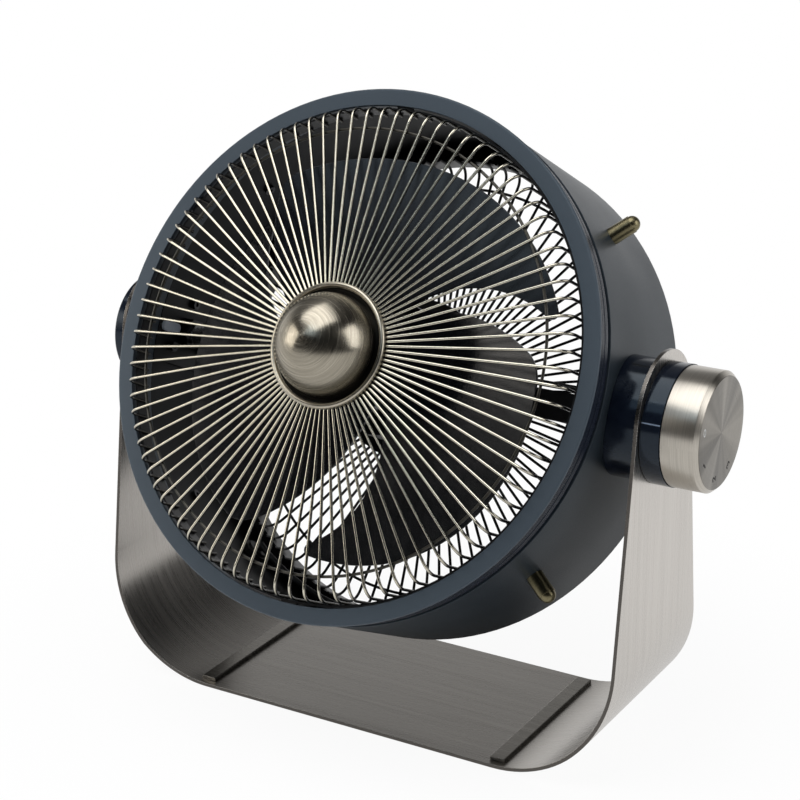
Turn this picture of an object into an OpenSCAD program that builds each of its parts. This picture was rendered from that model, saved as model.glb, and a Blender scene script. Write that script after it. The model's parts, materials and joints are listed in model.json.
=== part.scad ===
// Floor fan: a drum head that tilts between the arms of a U-shaped steel stand.
// +Z is up, the fan blows towards -Y, and the speed knob is on the +X side.
// The origin is on the floor, under the middle of the base.
// The head is modelled in its own frame: z forward along the blade axis, y up, x to the knob,
// with its origin at the tilt axis. Depths are measured back from the bezel's front face.

/* [Stand] */
// Depth of the base plate, front to back
base_depth = 144.9; // [136:0.1:156]
// Thickness of the steel band
band_thickness = 2.5; // [2:0.1:3]
// Outer radius of the two bends
bend_radius = 84.4; // [76:0.1:90]
// Height of the tilt axis over the underside of the band
pivot_height = 239.4; // [232:0.1:255]
// Width of an arm at the tilt axis
arm_width = 87; // [84:0.1:92]
// Height of an arm's round top over the tilt axis
arm_top_height = 47.9; // [47:0.1:54]
// Height at which the arms start to taper
taper_start = 21.1; // [10:0.1:40]
// Width of a flat bar on the base
bar_width = 11; // [9:0.1:14]
// Length of a flat bar on the base
bar_length = 134; // [116:0.1:135]
// Thickness of a flat bar on the base
bar_thickness = 2.5; // [2.2:0.1:4]
// Distance between the middles of the two bars
bar_spacing = 237; // [226:0.1:240]
// Thickness of the rubber pad under the base
pad_thickness = 1.6; // [1.2:0.1:3]

/* [Head] */
// Upward tilt of the head at rest, in degrees
tilt_at_rest = 27.1; // [0:0.1:60]
// Outer radius of the front bezel
bezel_radius = 180; // [176:0.1:184]
// Width of the bezel's flat ring
bezel_width = 11.5; // [9:0.1:12]
// Thickness of the bezel's flat ring
bezel_thickness = 2.8; // [2.6:0.1:3.6]
// How far the bezel stands out past the drum
bezel_overhang = 1.5; // [1:0.1:2]
// How far the bezel's face is ahead of the tilt axis
bezel_ahead = 70.6; // [68:0.1:74]
// Length of the head from the bezel's face to the drum's rear lip
head_length = 143.4; // [141:0.1:150]
// Wall of the drum
drum_wall = 1.5; // [1.2:0.1:1.8]
// Depth at which the drum's front edge lies
drum_start = 19.6; // [18:0.1:24]
// Width of the drum's rear lip
rear_lip_width = 12; // [11.5:0.1:13]

/* [Grilles] */
// Number of radial wires in each grille
wire_count = 90; // [60:1:90]
// Diameter of a wire
wire_d = 2; // [1.6:0.1:2.1]
// How far the front wires' legs lie inside the bezel's opening
front_leg_inset = 3.5; // [3.1:0.1:5.5]
// Radius of the bend in a front wire
front_bend = 10; // [6:0.1:11]
// Depth at which the front legs end
front_leg_end = 14; // [10:0.1:18]
// How far the front wires stand out at the collar
wire_rise_inner = 22.1; // [20:0.1:24]
// How far the front wires stand out at the thin ring
wire_rise_outer = 14; // [12:0.1:16]
// How far the front thin ring lies inside the legs of the wires
front_ring_inset = 16; // [13:0.1:25]
// Diameter of the wire of both thin rings
ring_wire_d = 2; // [1.6:0.1:2.6]
// How far the rear wires' legs lie inside the drum's rear lip
rear_leg_inset = 2.7; // [2.5:0.1:4.5]
// Radius of the bend in a rear wire
rear_bend = 9; // [6:0.1:10]
// How far the rear wires lie ahead of the drum's rear edge
rear_wire_inset = 3; // [2.4:0.1:4.4]
// Depth of the rear wires' hooked ends
rear_leg_length = 22.4; // [14.4:0.1:26.4]
// How far the rear thin ring lies inside the legs of the wires
rear_ring_inset = 15.5; // [14:0.1:33]
// Radius of the disc in the middle of the rear grille
rear_disc_r = 50; // [46:0.1:60]

/* [Dome] */
// Outer radius of the grille's collar
collar_r = 42; // [41:0.1:43]
// Height of the collar's rounded lip
collar_lip_height = 3.4; // [3:0.1:5]
// Width of the collar's rounded lip
collar_lip_width = 3.6; // [3:0.1:4]
// Radius of the dome
dome_r = 34.4; // [33:0.1:34.6]
// Sheet thickness of the dome
dome_wall = 1.2; // [0.8:0.1:2]

/* [Blades] */
// Radius of the blade tips
blade_tip_r = 137; // [130:0.1:142]
// Radius of the rounding at a blade's pointed corner
blade_point_round = 4.3; // [2:0.1:6]
// Radius of the rounding at a blade's blunt corner
blade_shoulder_round = 22; // [10:0.5:30]
// Thickness of a blade
blade_thickness = 2; // [1.6:0.1:2.6]
// Depth at which the middle of the blades lies
blade_middle = 28; // [27:0.1:30]
// Slope of a blade at its middle, in degrees
blade_pitch = 9.4; // [7:0.1:11]
// Radius of the curve along a blade
blade_curve = 900; // [800:10:2000]
// Radius of the hub
hub_r = 36; // [34:0.1:38]
// Depth at which the hub starts
hub_start = 19; // [18.5:0.1:20]
// Length of the hub
hub_length = 29; // [28:0.1:30]
// Diameter of the motor's shaft
shaft_d = 8; // [7:0.1:9]

/* [Motor] */
// Outer radius of the motor's casing
motor_r = 47; // [46:0.1:49]
// Wall of the motor's casing
motor_wall = 2.5; // [2:0.1:3]
// Depth at which the motor starts
motor_start = 52; // [51:0.1:53]
// Length of the motor
motor_length = 45.5; // [44:0.1:47]
// Height of the stator's core
core_length = 23.5; // [20:0.1:25]
// Outer radius of the rotor's core
rotor_r = 24; // [22:0.1:25]
// Height of the strap that carries the motor
strap_height = 20; // [18:0.1:24]
// Thickness of the strap
strap_thickness = 3; // [2.6:0.1:3.4]

/* [Pivots] */
// Gap from the drum's side to the inner face of an arm
arm_gap = 20.4; // [19.6:0.1:22]
// Radius of the right boss
boss_right_r = 40; // [38:0.1:42]
// Radius of the left boss
boss_left_r = 38.2; // [37:0.1:40]
// Diameter of the trunnions
trunnion_d = 16; // [15:0.1:16.6]
// Bore of the hollow right trunnion
trunnion_bore = 10.4; // [10:0.1:11]
// Radius of the switch collar
switch_collar_r = 40.2; // [38.5:0.1:42]
// Length of the switch collar
switch_collar_length = 13.3; // [13:0.1:15]
// Radius of the left cap
cap_r = 38.2; // [36.5:0.1:40]
// Length of the left cap
cap_length = 10.6; // [9:0.1:13]

/* [Knob] */
// Radius of the knob
knob_r = 39.7; // [37:0.1:41]
// Length of the knob
knob_length = 25.4; // [24:0.1:28]
// Polished chamfer around the knob's face
knob_chamfer = 3.1; // [2:0.1:3.4]
// Angle of the index line, up from the direction that the fan blows, in degrees
index_angle = -9.5; // [-30:0.5:30]

/* [Pegs] */
// Radius of a cord peg
peg_r = 6; // [5:0.1:7]
// Length that a peg stands out of the drum
peg_length = 21; // [18:0.1:24]
// Angle from a pivot to the pegs beside it, in degrees
peg_angle = 40; // [36:0.5:50]

/* [Hidden] */
$fn = 64;
wide_fn = 180;
wire_fn = 16;

// Clearances and fits
cut = 1;
weld_gap = 0.02;
running_gap = 0.05;
seat_gap = 0.1;
moving_gap = 0.3;
weld_overlap = 0.25;
lead_joint_share = 1.06;

// Stand
drum_r = bezel_radius - bezel_overhang;
drum_inner_r = drum_r - drum_wall;
arm_inner_x = drum_r + arm_gap;
arm_outer_x = arm_inner_x + band_thickness;
pivot_z = pad_thickness + pivot_height;
stand_top = pivot_height + arm_top_height;
inner_bend_radius = bend_radius - band_thickness;
flat_half_width = arm_outer_x - bend_radius;
taper_angle = atan((base_depth - arm_width) / 2 / (pivot_height - taper_start));
arm_top_centre = (arm_top_height - arm_width / 2 * cos(taper_angle)) / (1 - sin(taper_angle));
arm_top_r = arm_top_height - arm_top_centre;
pad_inset = 4;
bar_reach = bar_spacing / 2 + bar_width / 2;
bend_rise_at_bar = inner_bend_radius
    - sqrt(pow(inner_bend_radius, 2) - pow(max(bar_reach - flat_half_width, 0), 2));
bar_bottom = pad_thickness + band_thickness + bend_rise_at_bar + weld_gap;
bar_edge_chamfer = 0.5;
bar_screw_r = 2;
bar_screw_head_r = 4;
bar_screw_places_share = [-0.37, 0, 0.37];
bar_screw_length = bar_bottom + bar_thickness / 2 - pad_thickness;
bar_screw_head_height = bar_screw_head_r - bar_screw_r;

// Pivot washers, bushes and bosses
trunnion_r = trunnion_d / 2;
bush_wall = 2.4;
bush_outer_r = trunnion_r + running_gap + bush_wall;
washer_r = 30;
washer_thickness = 1;
boss_end_x = arm_inner_x - washer_thickness;
flange_start_x = arm_outer_x + washer_thickness;
flange_thickness = 3;
flange_r = 32;
flange_end_x = flange_start_x + flange_thickness;
foot_thickness = 2;
foot_inner_r = drum_inner_r - foot_thickness;
foot_half_height = 25;
foot_front_reach = 37;
nut_thickness = 6;
trunnion_nut_r = 11.5;
trunnion_tail = 3;
nut_seat_x = sqrt(pow(foot_inner_r, 2) - pow(trunnion_nut_r, 2));
trunnion_end_x = nut_seat_x - nut_thickness - trunnion_tail;
boss_wall = 3;
boss_core_r = 28;
boss_screw_r = 2;
boss_screw_head_r = 3.6;
boss_screw_head_height = 2.4;
boss_screw_pitch_r = 21.5;
boss_screw_length = 12;
boss_screw_angles = [83, -37, -157];
boss_screw_seat_x = sqrt(pow(foot_inner_r, 2)
    - pow(boss_screw_pitch_r + boss_screw_head_r, 2));
key_ahead = 23;
key_length = 21;
key_width = 7.5;
key_proud = 2;
key_socket = 6;

// Collar, switch and knob
collar_start_x = arm_outer_x + moving_gap;
collar_end_x = collar_start_x + switch_collar_length;
collar_wall = 2.5;
index_width = 0.9;
index_depth = 0.3;
collar_post_r = 4;
collar_screw_r = 1.5;
collar_screw_head_r = 2.8;
collar_screw_head_height = 1.8;
collar_screw_pitch_r = 26;
collar_screw_angles = [30, 150, 270];
collar_screw_length = collar_end_x - flange_start_x - cut;
switch_body_r = 16;
switch_neck_r = 4.5;
switch_nut_r = 7.5;
switch_nut_thickness = 2;
switch_neck_length = 3;
switch_shaft_r = 3;
shaft_flat_depth = 0.8;
knob_start_x = collar_end_x + moving_gap;
knob_end_x = knob_start_x + knob_length;
knob_wall = 3;
knob_face_thickness = 4;
knob_core_r = 8;
knob_core_start_x = collar_end_x + switch_neck_length + 2 * moving_gap;
cap_start_x = arm_outer_x + moving_gap;
cap_end_x = cap_start_x + cap_length;
cap_wall = 2.4;
cap_rim_r = 1.2;

// Bezel, trim and drum
bezel_inner_r = bezel_radius - bezel_width;
bezel_edge_r = bezel_thickness / 2;
skirt_outer_r = drum_inner_r - seat_gap;
skirt_wall = 1.5;
skirt_end = drum_start + 14;
trim_end = drum_start - 0.2 * cut;
trim_thickness = 1.3;
trim_groove = 0.7;
trim_bead_shares = [[0.16, 0.5], [0.56, 0.9]];
rear_lip_r = drum_r - rear_lip_width;
hem_r = 0.5;

// Grilles
wire_r = wire_d / 2;
ring_wire_r = ring_wire_d / 2;
wire_inner_r = dome_r + 1.9 * wire_r;
front_leg_r = bezel_inner_r - front_leg_inset;
rear_leg_r = rear_lip_r - rear_leg_inset;
front_ring_r = front_leg_r - front_ring_inset;
rear_ring_r = rear_leg_r - rear_ring_inset;
rear_wire_depth = head_length - rear_wire_inset;
rear_leg_end = rear_wire_depth - rear_leg_length;
cone_angle = atan((wire_rise_inner - wire_rise_outer) / (front_ring_r - collar_r));
wire_phase = 0.617;
bend_centre_r = front_leg_r - front_bend;
bend_start_r = bend_centre_r + front_bend * sin(cone_angle);
bend_start_depth = -wire_rise_inner + (bend_start_r - collar_r) * tan(cone_angle);
bend_centre_depth = bend_start_depth + front_bend * cos(cone_angle);
wire_inner_depth = -wire_rise_inner - (collar_r - wire_inner_r) * tan(cone_angle);
band_sheet = 1.2;
front_band_inner_r = front_leg_r + wire_r + running_gap;
ear_thickness = 1.6;
ear_half_width = 6;
ear_count = 6;
ear_phase = 30;
grille_screw_r = 1.5;
grille_screw_head_r = 2.8;
grille_screw_head_height = 1.6;
front_ear_reach = skirt_outer_r - skirt_wall - seat_gap;
front_ear_hole_r = (front_band_inner_r + band_sheet + front_ear_reach) / 2;
front_screw_bite = bezel_thickness - cut;
rear_band_outer_r = rear_lip_r - seat_gap;
rear_band_inner_r = rear_leg_r + wire_r + running_gap;
rear_band_width = 17.4;
rear_band_start = head_length - rear_band_width;
rear_ear_reach = drum_inner_r - seat_gap;
rear_ear_hole_r = (rear_lip_r + drum_inner_r) / 2;
rear_lip_depth = head_length - drum_wall;
rear_disc_sheet = 1.5;
rear_wire_inner_r = rear_disc_r - 6 * wire_d;

// Collar, dome and back plate
collar_bottom_depth = wire_inner_depth - wire_r / cos(cone_angle) - weld_gap;
collar_base_sheet = 1.2;
collar_inner_r = dome_r + seat_gap;
back_plate_sheet = 2;
back_plate_depth = -wire_rise_inner + wire_r / cos(cone_angle) + weld_gap;
dome_centre_depth = collar_bottom_depth - collar_base_sheet - cut;
dome_post_r = 5;
dome_screw_r = 2;
dome_screw_head_r = 3.8;
dome_screw_head_height = 2.4;
dome_screw_length = 14;

// Blades and hub
blade_count = 3;
blade_middle_angle = -41;
front_edge_centre_share = [0.467, -0.562];
front_edge_r_share = 0.854;
rear_edge_centre_share = [-0.395, -0.42];
rear_edge_r_share = 0.584;
front_edge_centre = blade_tip_r * front_edge_centre_share;
front_edge_r = blade_tip_r * front_edge_r_share;
rear_edge_centre = blade_tip_r * rear_edge_centre_share;
rear_edge_r = blade_tip_r * rear_edge_r_share;
corner_reach_share = 8;
hub_wall = 2.5;
hub_core_r = 9;
shaft_r = shaft_d / 2;
shaft_start = 12;
blade_nut_r = 8;
blade_nut_thickness = 5;

// Motor
motor_end = motor_start + motor_length;
motor_middle = motor_start + motor_length / 2;
motor_inner_r = motor_r - motor_wall;
motor_ear_r = 5;
motor_ear_angles = [45, 135, 225, 315];
motor_bolt_r = 2;
motor_bolt_head_r = 3.8;
motor_ear_pitch_r = motor_r + motor_bolt_head_r + seat_gap;
motor_bolt_head_height = 2.5;
front_ear_length = 6;
bearing_r = 9;
bearing_width = 5;
bearing_pocket_wall = 3;
bearing_inset = 0.1;
core_gap = 0.6;
winding_width = 14;
winding_height = 6;
winding_bar_r = 3;
winding_bar_count = 8;
rotor_end_gap = 2;
lead_hole_r = 3.4;
lead_r = 2.2;
lead_offset = 2.5;
bracket_disc_r = motor_ear_pitch_r + motor_ear_r + 1;
bracket_depth = motor_end;
bracket_back = bracket_depth + strap_thickness;
bracket_hole_r = 12;

// Capacitor
capacitor_size = [40, 18, 20];
capacitor_x = -105;
capacitor_corner_r = 3;

// Pegs
peg_dome_step = 0.5;
peg_screw_r = 2;
peg_screw_head_r = 3.8;
peg_screw_head_height = 2.4;
peg_screw_length = 12;

// Cord inlet and inner leads
gland_angle = -125;
gland_inset = 33.4;
gland_depth = head_length - gland_inset;
gland_bore_r = 3.6;
gland_thread_r = 7.5;
gland_flange_r = 11;
gland_flange_height = 3;
gland_nose_r = 8;
gland_nose_height = 8;
gland_nut_r = 11;
gland_nut_thickness = 4;
gland_tail = 2;
lead_ring_r = drum_inner_r - gland_nut_thickness - gland_tail - lead_r - cut;
supply_end_angle = -12;
harness_exit_x = nut_seat_x - nut_thickness - 3 * trunnion_tail;

// Placement helpers

function at_depth(d) = bezel_ahead - d;

// Point at given distances from the head's axis and from the middle of a blade's edge circle
function corner_middle(edge_centre, edge_reach, tip_reach) =
    let (
        apart = norm(edge_centre),
        along = (tip_reach * tip_reach - edge_reach * edge_reach + apart * apart) / (2 * apart),
        across = sqrt(tip_reach * tip_reach - along * along),
        aim = edge_centre / apart
    )
    along * aim + across * [-aim[1], aim[0]];

module head_frame() {
    translate([0, 0, pivot_z]) rotate([90 - tilt_at_rest, 0, 0]) children();
}

module on_side(side) {
    mirror([side < 0 ? 1 : 0, 0, 0]) children();
}

module around_pivot(angle, r) {
    translate([0, r * sin(angle), r * cos(angle)]) children();
}

// Tube along z, from the front depth back to the rear depth
module depth_tube(r_out, r_in, front, rear) {
    translate([0, 0, at_depth(rear)]) difference() {
        cylinder(r = r_out, h = rear - front);
        translate([0, 0, -cut]) cylinder(r = r_in, h = rear - front + 2 * cut);
    }
}

module depth_disc(r, front, rear) {
    translate([0, 0, at_depth(rear)]) cylinder(r = r, h = rear - front);
}

module x_disc(r, start, end) {
    translate([start, 0, 0]) rotate([0, 90, 0]) cylinder(r = r, h = end - start);
}

module x_tube(r_out, r_in, start, end) {
    difference() {
        x_disc(r_out, start, end);
        x_disc(r_in, start - cut, end + cut);
    }
}

// Screw along +z: its seat is at zero, the head lies below it, with a hexagon socket
module socket_screw(r, length, head_r, head_height) {
    root = head_height / 4;
    translate([0, 0, -root]) cylinder(r = r, h = root + length, $fn = 24);
    difference() {
        translate([0, 0, -head_height]) cylinder(r = head_r, h = head_height - weld_gap, $fn = 32);
        translate([0, 0, -head_height - cut]) cylinder(r = head_r / 2, h = head_height / 2 + cut, $fn = 6);
    }
}

// Round lead through hand-chosen points, with a ball at each corner
module lead_path(points) {
    for (i = [0 : len(points) - 2]) {
        run = points[i + 1] - points[i];
        flat_length = norm([run[0], run[1]]);
        translate(points[i]) rotate([0, atan2(flat_length, run[2]), atan2(run[1], run[0])])
            cylinder(r = lead_r, h = norm(run), $fn = 24);
    }
    for (i = [1 : len(points) - 2]) translate(points[i])
        sphere(r = lead_joint_share * lead_r, $fn = 24);
}

// Stand

module band_outline(inset) {
    radius = bend_radius - inset;
    half_width = arm_outer_x - inset;
    translate([-half_width, bend_radius]) square([2 * half_width, stand_top + cut - bend_radius]);
    translate([-flat_half_width, inset]) square([2 * flat_half_width, stand_top + cut - inset]);
    for (side = [-1, 1]) translate([side * flat_half_width, bend_radius]) circle(r = radius, $fn = wide_fn);
}

module arm_outline() {
    half_base = base_depth / 2;
    side_y = arm_top_r * cos(taper_angle);
    side_z = pivot_height + arm_top_centre + arm_top_r * sin(taper_angle);
    polygon([[-half_base, -cut], [half_base, -cut], [half_base, taper_start], [side_y, side_z],
        [-side_y, side_z], [-half_base, taper_start]]);
    translate([0, pivot_height + arm_top_centre]) circle(r = arm_top_r, $fn = 96);
}

module bar_screw_places() {
    for (side = [-1, 1]) for (share = bar_screw_places_share)
        translate([side * bar_spacing / 2, share * bar_length, 0]) children();
}

module bar_screw() {
    translate([0, 0, pad_thickness]) {
        cylinder(r1 = bar_screw_head_r, r2 = bar_screw_r, h = bar_screw_head_height, $fn = 32);
        cylinder(r = bar_screw_r, h = bar_screw_length, $fn = 32);
    }
}

module stand_frame() {
    color([0.62, 0.59, 0.56]) difference() {
        translate([0, 0, pad_thickness]) intersection() {
            rotate([90, 0, 0]) linear_extrude(base_depth + 2 * cut, center = true) difference() {
                band_outline(0);
                band_outline(band_thickness);
            }
            rotate([90, 0, 90]) linear_extrude(2 * arm_outer_x + 2 * cut, center = true) arm_outline();
        }
        translate([0, 0, pivot_z]) x_disc(bush_outer_r + weld_gap, -arm_outer_x - cut, arm_outer_x + cut);
        bar_screw_places() bar_screw();
    }
}

module base_pad() {
    color([0.1, 0.1, 0.1]) translate([-flat_half_width, pad_inset - base_depth / 2, 0])
        cube([2 * flat_half_width, base_depth - 2 * pad_inset, pad_thickness]);
}

module base_bar() {
    half_width = bar_width / 2;
    difference() {
        translate([bar_spacing / 2, bar_length / 2, bar_bottom]) rotate([90, 0, 0])
            linear_extrude(bar_length) polygon([[-half_width, 0], [half_width, 0],
                [half_width, bar_thickness - bar_edge_chamfer],
                [half_width - bar_edge_chamfer, bar_thickness],
                [bar_edge_chamfer - half_width, bar_thickness],
                [-half_width, bar_thickness - bar_edge_chamfer]]);
        bar_screw_places() bar_screw();
    }
}

module base_bar_right() {
    color([0.55, 0.53, 0.51]) base_bar();
}

module base_bar_left() {
    color([0.55, 0.53, 0.51]) on_side(-1) base_bar();
}

module base_bar_screws() {
    color([0.5, 0.5, 0.5]) bar_screw_places() bar_screw();
}

module arm_bush() {
    translate([0, 0, pivot_z])
        x_tube(bush_outer_r, trunnion_r + running_gap, arm_inner_x, arm_outer_x);
}

module arm_bush_right() {
    color([0.9, 0.9, 0.88]) arm_bush();
}

module arm_bush_left() {
    color([0.9, 0.9, 0.88]) on_side(-1) arm_bush();
}

// Drum, bezel and trim

module boss_screw_holes(r) {
    for (angle = boss_screw_angles) around_pivot(angle, boss_screw_pitch_r)
        x_disc(r, foot_inner_r - boss_screw_r * foot_thickness, drum_r + boss_screw_length);
}

module key_prism(start, end, gap) {
    for (end_share = [-0.5, 0.5]) translate([0, 0, key_ahead + end_share * (key_length - key_width)])
        x_disc(key_width / 2 + gap, start, end);
    translate([start, -key_width / 2 - gap, key_ahead - (key_length - key_width) / 2])
        cube([end - start, key_width + 2 * gap, key_length - key_width]);
}

module wall_cuts(start, end) {
    x_disc(trunnion_r + seat_gap, start, end);
    for (angle = boss_screw_angles) around_pivot(angle, boss_screw_pitch_r)
        x_disc(boss_screw_r + seat_gap, start, end);
    key_prism(start, end, seat_gap);
}

module peg_places(side) {
    for (up = [-1, 1]) rotate([0, 0, side > 0 ? up * peg_angle : 180 + up * peg_angle]) children();
}

module gland_place() {
    translate([0, 0, at_depth(gland_depth)]) rotate([0, 0, gland_angle]) children();
}

module rear_ear_places() {
    for (i = [0 : ear_count - 1]) rotate([0, 0, ear_phase + i * 360 / ear_count]) children();
}

module drum_shell() {
    color([0.36, 0.38, 0.41]) head_frame() difference() {
        union() {
            depth_tube(drum_r, drum_inner_r, drum_start, head_length, $fn = wide_fn);
            depth_tube(drum_inner_r + drum_wall / 2, rear_lip_r, rear_lip_depth, head_length, $fn = wide_fn);
            translate([0, 0, at_depth(drum_start + hem_r)]) rotate_extrude($fn = wide_fn)
                translate([drum_r, 0]) circle(r = hem_r, $fn = 24);
        }
        for (side = [-1, 1]) {
            on_side(side) wall_cuts(drum_inner_r - cut - foot_thickness, drum_r + cut);
            peg_places(side) x_disc(peg_screw_r + seat_gap, drum_inner_r - cut, drum_r + cut);
        }
        gland_place() x_disc(gland_thread_r + seat_gap, drum_inner_r - cut, drum_r + cut);
        rear_ear_places() translate([rear_ear_hole_r, 0, at_depth(head_length + cut)])
            cylinder(r = grille_screw_r + seat_gap, h = drum_wall + 2 * cut, $fn = 24);
    }
}

module front_bezel() {
    color([0.31, 0.34, 0.39]) head_frame() difference() {
        union() {
            translate([0, 0, at_depth(bezel_thickness)]) rotate_extrude($fn = wide_fn) {
                translate([bezel_inner_r, 0]) square([bezel_width - bezel_edge_r, bezel_thickness]);
                translate([bezel_radius - bezel_edge_r, bezel_edge_r]) circle(r = bezel_edge_r, $fn = 24);
            }
            depth_tube(skirt_outer_r, skirt_outer_r - skirt_wall, bezel_thickness - weld_overlap, skirt_end,
                $fn = wide_fn);
        }
        rear_ear_places() translate([front_ear_hole_r, 0, at_depth(bezel_thickness + cut)])
            cylinder(r = grille_screw_r + weld_gap, h = front_screw_bite + cut, $fn = 24);
    }
}

module trim_band() {
    trim_start = bezel_thickness + seat_gap;
    trim_length = trim_end - trim_start;
    color([0.1, 0.12, 0.16]) head_frame() translate([0, 0, at_depth(trim_end)]) rotate_extrude($fn = wide_fn) {
        translate([drum_inner_r, 0]) square([trim_thickness - trim_groove, trim_length]);
        for (bead = trim_bead_shares)
            translate([drum_inner_r, (1 - bead[1]) * trim_length])
                square([trim_thickness, (bead[1] - bead[0]) * trim_length]);
    }
}

// Grilles

// A straight wire, and the hooked end that is butt-welded to it
module front_wire() {
    straight = (bend_start_r - wire_inner_r) / cos(cone_angle) - weld_gap;
    translate([wire_inner_r, 0, at_depth(wire_inner_depth)]) rotate([0, 90 + cone_angle, 0])
        cylinder(r = wire_r, h = straight);
    translate([bend_centre_r, 0, at_depth(bend_centre_depth)]) rotate([90, 0, 0])
        rotate_extrude(angle = 90 - cone_angle, $fn = 60) translate([front_bend, 0]) circle(r = wire_r);
    translate([front_leg_r, 0, at_depth(front_leg_end)])
        cylinder(r = wire_r, h = front_leg_end - bend_centre_depth);
}

module thin_ring(ring_r, depth) {
    translate([0, 0, at_depth(depth)]) rotate_extrude($fn = wide_fn) translate([ring_r, 0])
        circle(r = ring_wire_r);
}

module front_grille() {
    color([0.78, 0.76, 0.7]) head_frame() for (i = [0 : wire_count - 1])
        rotate([0, 0, wire_phase + i * 360 / wire_count]) front_wire($fn = wire_fn);
}

module front_grille_ring() {
    behind_wires = (wire_r + ring_wire_r + weld_gap) / cos(cone_angle);
    color([0.78, 0.76, 0.7]) head_frame()
        thin_ring(front_ring_r, behind_wires - wire_rise_outer, $fn = wire_fn);
}

module grille_ear(inner_r, reach, front, hole_r) {
    difference() {
        intersection() {
            translate([inner_r, -ear_half_width, at_depth(front + ear_thickness)])
                cube([reach - inner_r + cut, 2 * ear_half_width, ear_thickness]);
            translate([0, 0, at_depth(front + ear_thickness + cut)])
                cylinder(r = reach, h = ear_thickness + 2 * cut, $fn = wide_fn);
        }
        translate([hole_r, 0, at_depth(front + ear_thickness + cut)])
            cylinder(r = grille_screw_r + seat_gap, h = ear_thickness + 2 * cut, $fn = 24);
    }
}

module front_grille_band() {
    ear_start = bezel_thickness + weld_gap;
    color([0.3, 0.3, 0.31]) head_frame() {
        depth_tube(front_band_inner_r + band_sheet, front_band_inner_r, ear_start, front_leg_end,
            $fn = wide_fn);
        rear_ear_places() grille_ear(front_band_inner_r + band_sheet / 2, front_ear_reach, ear_start,
            front_ear_hole_r);
    }
}

module front_grille_screws() {
    seat = bezel_thickness + ear_thickness + 2 * weld_gap;
    color([0.5, 0.5, 0.5]) head_frame() rear_ear_places()
        translate([front_ear_hole_r, 0, at_depth(seat)]) socket_screw(grille_screw_r,
            seat - bezel_thickness + front_screw_bite - weld_gap, grille_screw_head_r, grille_screw_head_height);
}

module grille_collar() {
    lip_start = collar_r - collar_lip_width;
    half_lip = collar_lip_width / 2;
    color([0.75, 0.72, 0.65]) head_frame() translate([0, 0, at_depth(collar_bottom_depth)])
        rotate_extrude($fn = 96) {
            translate([collar_inner_r, 0]) square([collar_r - collar_inner_r, collar_base_sheet]);
            translate([lip_start, 0]) square([collar_lip_width, collar_lip_height - half_lip]);
            translate([lip_start + half_lip, collar_lip_height - half_lip]) circle(r = half_lip, $fn = 32);
        }
}

module dome_cap() {
    inner_r = dome_r - dome_wall;
    skirt_height = back_plate_depth - dome_centre_depth;
    color([0.66, 0.62, 0.54]) head_frame() translate([0, 0, at_depth(back_plate_depth)]) difference() {
        union() {
            rotate_extrude($fn = 96) difference() {
                union() {
                    square([dome_r, skirt_height]);
                    translate([0, skirt_height]) intersection() {
                        circle(r = dome_r, $fn = 96);
                        square([dome_r, dome_r]);
                    }
                }
                translate([0, -cut]) square([inner_r, skirt_height + cut]);
                translate([0, skirt_height]) intersection() {
                    circle(r = inner_r, $fn = 96);
                    square([inner_r, inner_r]);
                }
            }
            cylinder(r = dome_post_r, h = skirt_height + inner_r);
        }
        translate([0, 0, -cut]) cylinder(r = dome_screw_r + weld_gap, h = dome_screw_length + cut, $fn = 32);
    }
}

module grille_back_plate() {
    rear = back_plate_depth + back_plate_sheet;
    color([0.2, 0.2, 0.2]) head_frame() difference() {
        depth_disc(collar_r - cut, back_plate_depth + weld_gap, rear, $fn = 96);
        depth_disc(dome_screw_r + seat_gap, back_plate_depth - cut, rear + cut);
    }
}

module dome_screw() {
    color([0.5, 0.5, 0.5]) head_frame()
        translate([0, 0, at_depth(back_plate_depth + back_plate_sheet + weld_gap)])
            socket_screw(dome_screw_r, dome_screw_length, dome_screw_head_r, dome_screw_head_height);
}

module rear_wire() {
    bend_r = rear_leg_r - rear_bend;
    translate([rear_wire_inner_r, 0, at_depth(rear_wire_depth)]) rotate([0, 90, 0])
        cylinder(r = wire_r, h = bend_r - rear_wire_inner_r - weld_gap);
    translate([bend_r, 0, at_depth(rear_wire_depth - rear_bend)]) rotate([90, 0, 0]) rotate([0, 0, -90])
        rotate_extrude(angle = 90, $fn = 60) translate([rear_bend, 0]) circle(r = wire_r);
    translate([rear_leg_r, 0, at_depth(rear_wire_depth - rear_bend)])
        cylinder(r = wire_r, h = rear_wire_depth - rear_bend - rear_leg_end);
}

module rear_grille() {
    color([0.08, 0.08, 0.09]) head_frame() for (i = [0 : wire_count - 1])
        rotate([0, 0, wire_phase + i * 360 / wire_count]) rear_wire($fn = wire_fn);
}

module rear_grille_ring() {
    color([0.08, 0.08, 0.09]) head_frame()
        thin_ring(rear_ring_r, rear_wire_depth + wire_r + ring_wire_r + weld_gap, $fn = wire_fn);
}

module rear_grille_band() {
    color([0.12, 0.12, 0.13]) head_frame() {
        depth_tube(rear_band_outer_r, rear_band_inner_r, rear_band_start, head_length, $fn = wide_fn);
        rear_ear_places() grille_ear((rear_band_outer_r + rear_band_inner_r) / 2, rear_ear_reach,
            rear_lip_depth - ear_thickness - weld_gap, rear_ear_hole_r);
    }
}

module rear_grille_disc() {
    front = rear_wire_depth + wire_r + weld_gap;
    color([0.12, 0.12, 0.13]) head_frame() depth_disc(rear_disc_r, front, front + rear_disc_sheet, $fn = 96);
}

module rear_grille_screws() {
    color([0.5, 0.5, 0.5]) head_frame() rear_ear_places()
        translate([rear_ear_hole_r, 0, at_depth(head_length + weld_gap)])
            socket_screw(grille_screw_r, drum_wall + ear_thickness + cut, grille_screw_head_r,
                grille_screw_head_height);
}

// Motor and its bracket

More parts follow.
